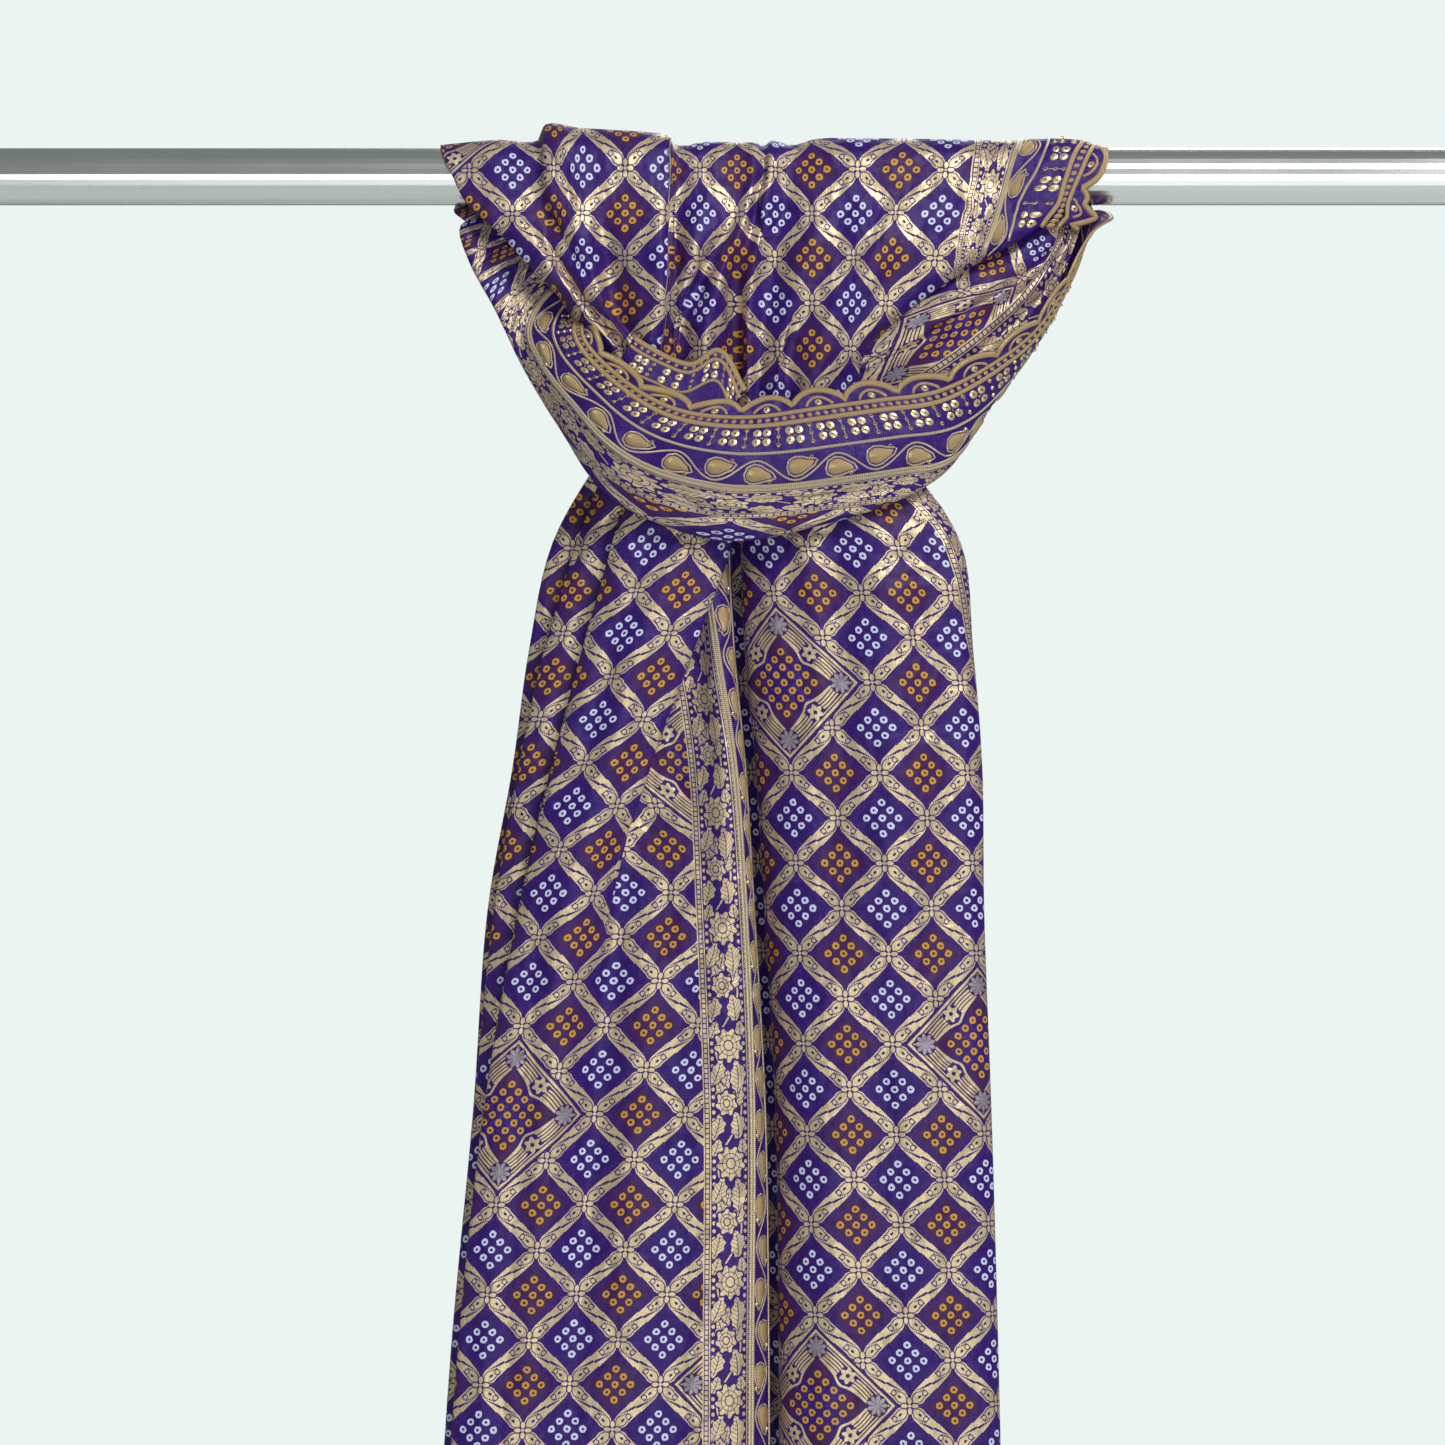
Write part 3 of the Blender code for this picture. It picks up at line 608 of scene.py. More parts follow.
def cloth_piece(name, drape, field, material, medallions=(), hemmed=False):
    """The shell over a drape. field gives the lattice's lengths from a section, a place in it, u and v.

    On a hemmed one the border also goes along the last section.
    """
    mesh = bpy.data.meshes.new(name)
    grid = drape.grid
    wide = len(grid[0])
    points = [point * MM for section in grid for point in section]
    faces = []
    for j in range(len(grid) - 1):
        for i in range(wide - 1):
            k = j * wide + i
            faces.append((k, k + 1, k + wide + 1, k + wide))
    mesh.from_pydata(points, [], faces)
    from_hem = [[NO_HEM] * wide for _ in grid]
    if hemmed:
        from_hem[-1] = [0.0] * wide
        for j in range(len(grid) - 2, -1, -1):
            from_hem[j] = [from_hem[j + 1][i] + (grid[j + 1][i] - grid[j][i]).length for i in range(wide)]
    maps = {"edge": [], "field": [], "medallion": [], "near_medallion": []}
    for corner in mesh.loops:
        j, i = divmod(corner.vertex_index, wide)
        at_u = drape.u[j][i]
        at_v = drape.v[j]
        maps["edge"] += (from_hem[j][i], at_u) if from_hem[j][i] < at_u else (at_u, at_v)
        at_p, at_q = field(j, i, at_u, at_v)
        maps["field"] += (at_p, at_q)
        gaps = [(abs(at_p - x) + abs(at_q - y), at_p - x, at_q - y) for x, y in medallions]
        gap, gap_p, gap_q = min(gaps, default=(NO_HEM, 0.0, 0.0))
        maps["medallion"] += (gap_p, gap_q)
        maps["near_medallion"] += (1.0 if gap < MEDALLION_REACH else 0.0, 0.0)
    for kind, lengths in maps.items():
        mesh.uv_layers.new(name=kind).data.foreach_set("uv", lengths)
    mesh.shade_smooth()
    mesh.materials.append(material)
    piece = bpy.data.objects.new(name, mesh)
    bpy.context.scene.collection.objects.link(piece)
    wall = piece.modifiers.new("Wall", "SOLIDIFY")
    wall.thickness = CLOTH_SHOWN * MM
    wall.offset = 0.0
    wall.use_even_offset = False
    return piece


# The trims sewn along the cloth's edge, from the edge inwards: scallops of silk with a thick gold braid on
# their arches, a band of two braid lines with knots between, flowers of four sequins, a thin cord, a vine
# with padded paisleys, and a bright double cord. Each is raised work laid on the drape by its lengths.

SCALLOP_PITCH = 30.0
SCALLOP_LOW = 4.0
SCALLOP_RISE = 8.0
KNOT_LINE = 3.6
KNOT_PITCH = 4.4
FLOWER_PITCH = 18.3
FLOWER_LINE = 14.0
SEQUIN_RADIUS = 2.65
SEQUIN_AT = 2.75  # from the flower's middle, both ways
BEADS_AT = (9.4, 14.2, 19.2)  # from the edge, between two flowers
CORD_LINE = 23.4
VINE_LINE = 33.5
VINE_PITCH = 23.4
VINE_SWING = 6.0
DOUBLE_CORD = (41.7, 44.0)
CORNERS = ((-1, -1), (1, -1), (1, 1), (-1, 1))
CORD_RING = ((-1.0, 0.0), (-0.62, 0.78), (0.0, 1.0), (0.62, 0.78), (1.0, 0.0), (0.0, -0.5))
PAISLEY = (
    # along the edge and away from it
    (-4.6, 0.0), (-3.6, 2.9), (-0.8, 4.2), (2.4, 3.6), (5.0, 1.9), (7.6, 0.5), (9.2, -1.8),
    (7.8, -2.4), (5.0, -2.8), (2.0, -3.7), (-1.2, -3.9), (-3.8, -2.6),
)

thread_gold, thread_shader, start = new_finish("gold_thread", 0.42, metallic=0.35)
thread_map = start.lengths("trim")
along, across, _ = thread_map.split()
strands = abs(((along * 1.25 + abs(across) * 0.9).sum("FRACT")) - 0.5) * 2.0
fuzz = thread_map.noise(1.7, 3.0)
# The thread's colour runs from dark brown to pale gold across each twisted strand: painted shade on the
# strands' sides and painted highlight on their crowns.
lit = (strands * 0.75 + fuzz * 0.5).soft(0.2, 0.9)
thread_tone = lit.mix((0.36, 0.2, 0.08, 1.0), (0.9, 0.66, 0.34, 1.0))
wire_to(thread_tone, thread_shader, "Base Color")
wire_to((strands + fuzz * 0.6).bump(0.7, 0.0004), thread_shader, "Normal")

bright_cord, bright_shader, start = new_finish("bright_cord", 0.3, metallic=0.4)
along, across, _ = start.lengths("trim").split()
turns = abs(((along * 0.9 + across * 0.35).sum("FRACT")) - 0.5) * 2.0
# The cord darkens to brown in the grooves between its turns and brightens on their crowns: painted shade and
# painted highlight.
cord_tone_with_groove_shade = turns.soft(0.1, 0.6).mix((0.32, 0.2, 0.12, 1.0), (0.95, 0.8, 0.55, 1.0))
wire_to(cord_tone_with_groove_shade, bright_shader, "Base Color")
wire_to(turns.bump(0.8, 0.0004), bright_shader, "Normal")

foil, foil_shader, start = new_finish("gold_sequin", 0.24, metallic=0.6)
foil_map = start.lengths("trim")
along, across, _ = foil_map.split()
beaten = foil_map.noise(0.8)
foil_tone = beaten.soft(0.35, 0.65).mix((0.7, 0.48, 0.2, 1.0), (0.98, 0.82, 0.5, 1.0))
foil_tone = foil_tone.tint(length(along, across) < 0.55, (0.08, 0.03, 0.05, 1.0))
wire_to(foil_tone, foil_shader, "Base Color")
wire_to(beaten.bump(0.5, 0.0003), foil_shader, "Normal")


class Raised:
    """Raised work gathered into one mesh, with a map of the lengths along and across each piece."""

    def __init__(self):
        self.points = []
        self.faces = []
        self.map = []

    def add(self, points, faces, lengths):
        """Takes in one more piece."""
        first = len(self.points)
        self.points += points
        self.faces += [tuple(first + k for k in face) for face in faces]
        self.map += lengths

    def cord(self, drape, path, half_width, rise):
        """A half-round cord along a path of (u, v) lengths."""
        centres = [drape.spot(u, v) for u, v in path]
        points = []
        lengths = []
        along = 0.0
        for k, (centre, way) in enumerate(centres):
            after = centres[min(k + 1, len(centres) - 1)][0]
            before = centres[max(k - 1, 0)][0]
            side = (after - before).cross(way).normalized()
            if k:
                along += (centre - centres[k - 1][0]).length
            for x, y in CORD_RING:
                points.append(centre + side * (x * half_width) + way * (y * rise))
                lengths.append((along, x * half_width))
        count = len(CORD_RING)
        faces = []
        for k in range(len(centres) - 1):
            for i in range(count):
                one = k * count + i
                two = k * count + (i + 1) % count
                faces.append((one, two, two + count, one + count))
        faces.append(tuple(range(count - 1, -1, -1)))
        faces.append(tuple((len(centres) - 1) * count + i for i in range(count)))
        self.add(points, faces, lengths)

    def dome(self, drape, u, v, outline, rise):
        """A padded shape with an outline of (along, away) lengths about a place."""
        out = 0.2
        points = []
        lengths = []
        count = len(outline)
        fan = drape.fan(u, v)
        for share, height in ((1.0, 0.0), (0.72, 0.75)):
            for x, y in outline:
                points.append(drape.spot(u + y * share, v + x * share / fan, out + rise * height)[0])
                lengths.append((x * share, y * share))
        points.append(drape.spot(u, v, out + rise)[0])
        lengths.append((0.0, 0.0))
        faces = []
        for i in range(count):
            after = (i + 1) % count
            faces.append((i, after, count + after, count + i))
            faces.append((count + i, count + after, 2 * count))
        self.add(points, faces, lengths)

    def piece(self, name, material):
        """All of it as one piece that stays with the cloth."""
        mesh = bpy.data.meshes.new(name)
        mesh.from_pydata([point * MM for point in self.points], [], self.faces)
        lengths = [length for corner in mesh.loops for length in self.map[corner.vertex_index]]
        mesh.uv_layers.new(name="trim").data.foreach_set("uv", lengths)
        mesh.shade_smooth()
        mesh.materials.append(material)
        made = bpy.data.objects.new(name, mesh)
        bpy.context.scene.collection.objects.link(made)
        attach(made, "root")


def ring_of(radius, count):
    """The outline of a round bead or sequin."""
    turns = [math.tau * k / count for k in range(count)]
    return [(radius * math.cos(turn), radius * math.sin(turn)) for turn in turns]


def scallop_height(v):
    """How far the scallops reach beyond the edge."""
    return SCALLOP_LOW + SCALLOP_RISE * max(0.0, math.sin(math.pi * (v / SCALLOP_PITCH % 1.0))) ** 0.6


def steps_of(start_at, end_at, step):
    """Even places from a start to an end, about a step apart."""
    count = max(1, int((end_at - start_at) / step))
    return [start_at + (end_at - start_at) * k / count for k in range(count + 1)]


def lay_trims(name, drape, start_at, end_at, from_u=-12.0):
    """The trims between two lengths along the edge, as far as they lie on cloth that shows."""
    braid = Raised()
    cords = Raised()
    sequins = Raised()

    def shows(u, v):
        edge = drape.edge_at(v)
        return u >= from_u and (edge <= 9.0 or u > edge + 1.0)

    def line(heap, u_of, half_width, rise, step):
        """A cord along the edge, at the lengths from it that u_of gives."""
        path = []
        for v in steps_of(start_at, end_at, step):
            if shows(u_of(v), v):
                path.append((u_of(v), v))
            elif len(path) > 2:
                heap.cord(drape, path, half_width, rise)
                path = []
        if len(path) > 2:
            heap.cord(drape, path, half_width, rise)

    vine_turns = places_along(drape, VINE_LINE, start_at, end_at, VINE_PITCH)

    def turns_by(v):
        """How many half turns the vine has made."""
        k = max(0, min(len(vine_turns) - 2, bisect.bisect_right(vine_turns, v) - 1))
        return k + (v - vine_turns[k]) / (vine_turns[k + 1] - vine_turns[k])

    line(braid, lambda v: 1.6 - scallop_height(v), 1.9, 1.3, 1.6)
    line(braid, lambda v: 0.6, 1.45, 1.1, 3.5)
    line(braid, lambda v: 6.6, 1.6, 1.1, 3.5)
    for v in steps_of(start_at + 2.0, end_at - 2.0, KNOT_PITCH):
        if shows(KNOT_LINE, v):
            braid.dome(drape, KNOT_LINE, v, ring_of(1.55, 7), 1.0)
    for k in range(int(start_at // SCALLOP_PITCH), int(end_at // SCALLOP_PITCH) + 1):
        middle = (k + 0.5) * SCALLOP_PITCH
        if start_at + 8 < middle < end_at - 8 and shows(-3.4, middle):
            arch = []
            for share in steps_of(0.0, 1.0, 0.09):
                high = 1.2 + 5.0 * math.sin(math.pi * share) ** 0.7
                arch.append((-high, middle + (share - 0.5) * SCALLOP_PITCH / 2))
            braid.cord(drape, arch, 1.0, 0.9)
            sequins.dome(drape, -3.0, middle, ring_of(2.1, 9), 0.9)
    for v in places_along(drape, FLOWER_LINE, start_at + 9.0, end_at - 9.0, FLOWER_PITCH):
        if v > end_at - 9.0 or not shows(FLOWER_LINE, v):
            continue
        fan = drape.fan(FLOWER_LINE, v)
        for x, y in CORNERS:
            at_u = FLOWER_LINE + y * SEQUIN_AT
            sequins.dome(drape, at_u, v + x * SEQUIN_AT / fan, ring_of(SEQUIN_RADIUS, 10), 0.5)
        sequins.dome(drape, FLOWER_LINE, v, ring_of(0.9, 6), 1.5)
        halfway = v + FLOWER_PITCH / 2 / fan
        if halfway < end_at - 3:
            for u in BEADS_AT:
                sequins.dome(drape, u, halfway, ring_of(1.35, 7), 1.4)
            cords.cord(drape, [(8.4, halfway), (14.0, halfway + 0.2), (20.4, halfway)], 0.35, 0.5)
    line(cords, lambda v: CORD_LINE, 1.0, 1.0, 3.5)
    line(cords, lambda v: VINE_LINE - VINE_SWING * math.cos(math.pi * turns_by(v)), 0.7, 0.8, 2.0)
    for u in DOUBLE_CORD:
        line(cords, lambda v: u, 1.05, 1.0, 3.5)
    for k, v in enumerate(vine_turns):
        if not (start_at + 6 < v < end_at - 12 and shows(VINE_LINE, v)):
            continue
        fan = drape.fan(VINE_LINE, v)
        turn = 1.0 if k % 2 else -1.0
        shape = [(x * 1.1, y * turn * 1.1) for x, y in PAISLEY]
        if turn < 0:
            shape.reverse()
        centre = VINE_LINE - turn * 1.6
        braid.dome(drape, centre, v, shape, 1.7)
        rim = [(centre + y * 1.22, v + x * 1.16 / fan) for x, y in shape]
        cords.cord(drape, rim + rim[:1], 0.65, 0.8)
        sequins.dome(drape, centre - turn * 4.2, v + 8.4 / fan, ring_of(1.3, 7), 1.5)
    braid.piece(name + "_braid", thread_gold)
    cords.piece(name + "_cords", bright_cord)
    sequins.piece(name + "_sequins", foil)


def scallops(name, drape, start_at, end_at, node):
    """The silk of the scallops, beyond the edge, as a sheet of its own."""
    rows = []
    for v in steps_of(start_at, end_at, 1.5):
        high = scallop_height(v)
        rows.append([drape.spot(u, v)[0] for u in (1.5, -high * 0.33, -high * 0.67, -high)])
    petals = Drape(rows, flip=drape.flip)
    piece = cloth_piece(name, petals, lambda j, i, at_u, at_v: (at_u, at_v), brocade)
    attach(piece, "root")
    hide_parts(node)
    return piece


# The gather: the front of the neck, drawn up over the rod in soft rolls and let down behind it.
# Its right edge is the lace edge. The cloth is one with the tails, and only the hitch holds it.

GATHER_HEIGHTS = (-150.5, -130, -105, -80, -55, -35, -17, 0)
GATHER_STANDS = (8, 9, 10, 11, 11, 10, 3, 0)
GATHER_ANGLES = (140, 90, 40, -14)
ROD_RADIUS = 16.0
GATHER_FOLDS = (
    # name, x at each height and then at each angle, and under it how far it stands out there
    ("left_tuck", (-38, -42, -66, -84, -100, -121, -142, -151, -156, -158, -157, -155),
     (-30, -28, -18, -12, -9, -8, -1.4, 1.4, 1.4, 1.4, 1.4, 1.4)),
    ("left_edge", (-62, -62, -66, -80, -104, -122, -138, -146, -149, -151, -151, -149),
     (-8, -7, -4, -2, -1, 0, 1.5, 2.2, 2.2, 2.2, 2.2, 2.2)),
    ("strip_crest", (-58, -57, -56, -74, -93, -108, -120, -123, -125, -126, -128, -128),
     (2, 3, 4, 5, 5, 5, 5, 5.5, 5, 4.4, 4.6, 4.4)),
    ("first_valley", (-54.5, -53.5, -52.5, -70, -88, -98, -99, -102, -102, -103, -108, -110),
     (0, 0.5, 1, -1, 0, 1.5, 3, 4, 4, 4.2, 4.4, 4.2)),
    ("first_ridge", (-51, -50, -49, -66, -82, -90, -95, -98, -98, -99, -103, -104),
     (3, 3.5, 4.5, 5, 6, 8, 9, 10, 12, 13, 9, 6)),
    ("roll_a", (-47.5, -46.5, -45.5, -62, -73, -77, -80, -80, -80, -80, -82, -84),
     (3.5, 4, 5.5, 7, 8, 10, 11, 11, 11, 11, 8, 6)),
    ("soft_valley", (-44, -43.5, -42.5, -58, -62, -65, -65, -65, -64, -64, -66, -68),
     (1, 1.5, 2.5, 0, 1, 5, 9, 10, 10, 10, 7, 5)),
    ("roll_b", (-39, -39, -38.5, -43, -45, -46, -46, -46, -46, -46, -50, -52),
     (6, 7, 8, 9, 10, 10, 10, 10, 9, 9, 7, 5)),
    ("second_ridge", (-32, -33, -34, -31, -29, -28, -28, -28, -29, -29, -34, -38),
     (2, 2, 4, 8, 10, 10, 9, 8, 7, 6, 5, 4)),
    ("second_valley", (-28.5, -30, -31, -26, -26, -26, -26, -26, -26, -26, -30, -34),
     (0, 0, 1, 1, 1, 1.5, 2, 2, 1.8, 1.5, 1.5, 2)),
    ("roll_c", (-25, -26.5, -28, -24, -18, -13, -10, -10, -10, -10, -16, -20),
     (0, 0, 1, 3, 6, 7, 6, 5, 4, 3, 3, 4)),
    ("diagonal", (-21, -22.5, -24, -21, -10, 1, 8, 12, 12, 12, 4, 0),
     (-3, -3, -2, -1, 1, 2, 3, 3, 3, 3, 2, 2)),
    ("roll_d", (-10, -10, -10, -6, 0, 9, 14, 17, 17, 17, 16, 12),
     (5, 6, 8, 9, 8, 6, 5, 5, 4, 3, 4, 5)),
    ("deep_valley", (9, 9, 7, 7, 8, 15, 19, 23, 24, 24, 26, 26),
     (-9, -9, -9, -8, -4, 0.5, 1.5, 1.3, 1.3, 1.3, 2, 2)),
    ("small_ridge", (14, 14, 13, 13, 17, 21, 22, 26, 27, 28, 34, 36),
     (0, 0, 0, 2, 4, 6, 7, 7, 6, 3.5, 4, 5)),
    ("small_valley", (20, 20, 21, 24, 29, 31, 34, 37, 39, 40, 48, 52),
     (-4, -4, -4, -4, -4, -1, 1.5, 1.5, 1.5, 1.5, 2, 2)),
    ("right_crest_1", (30, 30, 32, 38, 43, 48, 50, 52, 53, 53, 62, 66),
     (5, 5, 6, 7, 6, 6, 6, 6, 5, 5, 5, 5)),
    ("soft_right", (44, 36, 37, 45, 55, 66, 72, 77, 78, 79, 84, 88),
     (0, -1, 0, 4, 7, 7, 7, 7, 6, 5, 3, 3)),
    ("right_crest_2", (60, 48, 52, 60, 77, 94, 102, 110, 109, 108, 114, 118),
     (5, 6, 7, 8, 8, 7, 6, 5, 5, 5, 5, 5)),
    ("turn_right", (76, 60, 64, 80, 106, 134, 152, 162, 162, 161, 158, 158),
     (3, 3, 4, 4, 5, 5, 5, 4, 4, 4, 3, 3)),
    ("border_crest", (88, 72, 73, 92, 124, 158, 180, 190, 194, 196, 192, 192),
     (0, 0, 0, 2, 4, 5, 6, 5, 5, 5, 4, 3)),
    ("lace_edge", (96, 80, 77, 99, 134, 169, 192, 203, 207, 208, 208, 207),
     (-4, -4, -4, -3, -1, 1, 3, 3, 2, 1.5, 1.5, 1.5)),
)
GATHER_FINE = 5


def hung_on_rod(point):
    """A place on the flat cloth, let down in front of the rod or wound over it."""
    across, way, stands = point
    radius = ROD_RADIUS + stands
    if way <= 0:
        return Vector((across, -radius, way))
    turn = math.pi - way / ROD_RADIUS
    return Vector((across, radius * math.cos(turn), radius * math.sin(turn)))


gather_ways = list(GATHER_HEIGHTS)
gather_ways += [ROD_RADIUS * math.radians(180 - angle) for angle in GATHER_ANGLES]
gather_stands = list(GATHER_STANDS) + [0] * len(GATHER_ANGLES)
gather_sections = []
for k, way in enumerate(gather_ways):
    section = [Vector((x[k], way, gather_stands[k] + out[k])) for _, x, out in reversed(GATHER_FOLDS)]
    gather_sections.append(section)
gather_steps = [5] * (len(GATHER_HEIGHTS) - 1) + [4] * len(GATHER_ANGLES)
gather_flat = smooth_grid(gather_sections, [GATHER_FINE] * (len(GATHER_FOLDS) - 1), gather_steps)
gather_drape = Drape([[hung_on_rod(point) for point in section] for section in gather_flat], flip=-1.0)

gather_drape.press((
    {"line": ((-99, -18), (-96, -24), (-92, -33), (-83, -47), (-74, -60)), "width": 3.5, "depth": 4.0},
    {"line": ((-66, -22), (-65, -35), (-60, -68), (-61, -86)), "width": 5.0, "depth": 4.0},
    {"line": ((-27.4, -18), (-27.4, -57)), "width": 2.6, "depth": 4.0},
    {"line": ((-36, -20), (-34, -60), (-38, -90)), "width": 4.0, "depth": -2.4},
    {"line": ((7, -23), (-1, -38), (-9, -52), (-15, -66), (-21, -78), (-26, -89), (-31, -97)),
     "width": 3.6, "depth": 4.4},
    {"line": ((-14, -22), (-16, -50), (-24, -72)), "width": 5.0, "depth": -2.2},
    {"line": ((6, -50), (8, -80), (10, -125)), "width": 4.5, "depth": 4.6},
    {"line": ((20, -19), (19, -25), (22, -35), (29, -43)), "width": 3.0, "depth": 4.0},
    {"line": ((37, -18), (34, -26), (30, -36)), "width": 3.0, "depth": 2.6},
    {"line": ((18, -34), (22, -56), (26, -74)), "width": 6.0, "depth": 3.4},
    {"line": ((43, -68), (36, -95), (27, -119)), "width": 6.5, "depth": 3.4},
    {"line": ((66, -20), (60, -42), (52, -62)), "width": 7.0, "depth": 2.2},
    {"line": ((99, -20), (88, -45), (77, -68)), "width": 9.0, "depth": -2.4},
    {"line": ((110, -24), (96, -52), (80, -76)), "width": 5.0, "depth": 2.4},
))

# Where the lattice's upright lines and the border's lines lie, left to right, as the rolls take them up
GATHER_COLUMNS = (
    # x and the length across the lattice there
    (-200, -160), (-140.8, -100), (-116.8, -75), (-93.2, -50), (-78.1, -25), (-54, 0), (-30.5, 25),
    (-12.6, 50), (8.1, 75), (29.4, 100), (49.6, 125), (74.2, 150), (96.6, 175), (121.8, 200), (220, 300),
)
GATHER_BORDER = {
    # way along the cloth, and there x and u of the border's lines
    -60: (
        (-200, 410), (127, 77), (132, 72), (140, 43), (148, 24),
        (156, 14), (166, 6), (172, 0), (230, -58),
    ),
    -19: (
        (-200, 410), (134.7, 77), (141, 72), (154, 43), (163, 24),
        (171, 14), (187, 6), (192, 0), (230, -38),
    ),
    18: (
        (-200, 410), (141, 77), (147.5, 72), (166, 43), (182, 24),
        (190, 14), (202, 6), (208, 0), (230, -22),
    ),
}
ROLL_STRETCH = 1.32  # the cloth lies outside the rod's own radius


def between_pairs(pairs, x):
    """A value read off between the pairs of a table."""
    for (x0, y0), (x1, y1) in zip(pairs, pairs[1:]):
        if x <= x1:
            return y0 + (y1 - y0) * (x - x0) / (x1 - x0)
    return pairs[-1][1]


def gather_border(x, way):
    """The length from the lace edge at a place on the flat cloth."""
    ways = sorted(GATHER_BORDER)
    way = max(ways[0], min(ways[-1], way))
    values = [(level, between_pairs(GATHER_BORDER[level], x)) for level in ways]
    return between_pairs(values, way)


# Left of the second ridge's sharp fold the pattern has slipped by half a diamond
SLIP = DIAGONAL / 2
fold_names = [fold[0] for fold in GATHER_FOLDS]
sharp_fold = (len(GATHER_FOLDS) - 1 - fold_names.index("second_ridge")) * GATHER_FINE


def gather_field(j, i, at_u, at_v):
    """The lattice's lengths on the gather, which leans towards its lace edge."""
    point = gather_flat[j][i]
    lean = max(0.0, min(1.0, (point.x - 60.0) / 35.0)) * 0.13 * (-18.0 - point.y)
    way = point.y if point.y < 0 else point.y * ROLL_STRETCH
    slip = SLIP if i > sharp_fold else 0.0
    return (between_pairs(GATHER_COLUMNS, point.x + lean) + SLIP + slip, way + 73.0 + slip)


for j, section in enumerate(gather_flat):
    gather_drape.u[j] = [gather_border(point.x, point.y) for point in section]
GATHER_MEDALLIONS = ((-75, 125), (125, 325))
gather = cloth_piece("gather_cloth", gather_drape, gather_field, brocade, GATHER_MEDALLIONS)
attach(gather, "root")
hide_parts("gather")

# The gather's own stretch of lace shows from where its edge turns under to behind the rod
gather_turn = 6 * SCALLOP_PITCH
gather_end = 9 * SCALLOP_PITCH
TRIMS_LEAD = 56.0  # the trims inside the edge show from further down than the scallops
gather_scallops = scallops("gather_scallops", gather_drape, gather_turn, gather_end, "gather_lace")
lay_trims("gather", gather_drape, gather_turn - TRIMS_LEAD, gather_end)

# The loop: the bight of the folded dupatta, from behind the rod on the left, across the neck, to the right.
# Each row is a section from its lace edge through the roll that shows to the tuck behind it.

LOOP_SECTIONS = (
    # lace edge, the turn that makes the outline, the tuck behind it, how far the face stands out
    ((-14, 18.5, -5.6), (-120, 18.5, -5.6), (-150, 18.5, -5.6), 0),
    ((-16, 13.5, -14.2), (-121, 13.5, -14.2), (-150, 13.5, -14.2), 0),
    ((-20, 3, -20), (-122, 3, -20), (-150, 3, -20), 0),
    ((-38, 0, -40), (-146, -8, -28), (-138, 6, -30), 2),
    ((-60, -4, -64), (-141, -13, -48), (-132, 8, -52), 3),
    ((-74, -9, -76), (-127, -18, -74), (-116, 9, -78), 4),
    ((-76, -39, -94), (-112, -20, -106), (-98, 8, -104), 6),
    ((-51, -49, -119), (-91, -24, -141), (-80, 3, -134), 10),
    ((-24, -51, -133), (-62, -41, -181), (-58, -33, -172), 10),
    ((12, -52, -137), (0, -47, -205), (2, -40, -196), 13),
    ((52, -52, -132), (52, -46, -197), (52, -40, -188), 12),
    ((88, -50, -127), (94, -42, -184), (92, -35, -176), 10),
    ((106, -48, -125), (112, -37, -175), (110, -31, -167), 9),
    ((122, -46, -121), (127, -25, -163), (121, -9, -156), 8),
    ((149, -41, -107), (145, -12, -134), (126, 10, -130), 7),
    ((173, -35, -88), (164, -4, -104), (132, 14, -102), 6),
    ((192, -28, -60), (180, 2, -72), (130, 14, -74), 5),
    ((203, -20, -36), (188, 4, -44), (110, 10, -46), 3),
    ((208, 2, -20), (170, 3, -20), (60, 3, -20), 0),
    ((207, 13.5, -14.2), (169, 13.5, -14.2), (48, 13.5, -14.2), 0),
    ((206, 18.5, -5.6), (168, 18.5, -5.6), (40, 18.5, -5.6), 0),
)
NECK_AXIS = Vector((12, -10, 0))


def loop_section(edge, turn, tuck, proud):
    """A section's points, with its face rounded out from the neck."""
    edge = Vector(edge)
    turn = Vector(turn)
    away = edge.lerp(turn, 0.5) - NECK_AXIS
    away.z = 0.0
    away.normalize()
    points = [edge]
    for share in (0.25, 0.5, 0.75):
        points.append(edge.lerp(turn, share) + away * (proud * math.sin(math.pi * share)))
    return points + [turn, Vector(tuck)]


loop_sections = [loop_section(*row) for row in LOOP_SECTIONS]
LOOP_FINE = 6
loop_drape = Drape(smooth_grid(loop_sections, [7, 7, 7, 7, 6], [LOOP_FINE] * (len(LOOP_SECTIONS) - 1)))

loop_drape.press((
    {"line": ((-120, -78), (-100, -118), (-72, -150)), "width": 4.5, "depth": 1.3},
    {"line": ((-104, -130), (-78, -166), (-44, -190)), "width": 5.0, "depth": 1.6},
    {"line": ((-60, -148), (-20, -168), (30, -176)), "width": 4.0, "depth": 1.0},
    {"line": ((40, -186), (80, -180), (112, -160)), "width": 5.0, "depth": 1.4},
    {"line": ((96, -142), (130, -126), (160, -104)), "width": 4.0, "depth": 1.2},
))

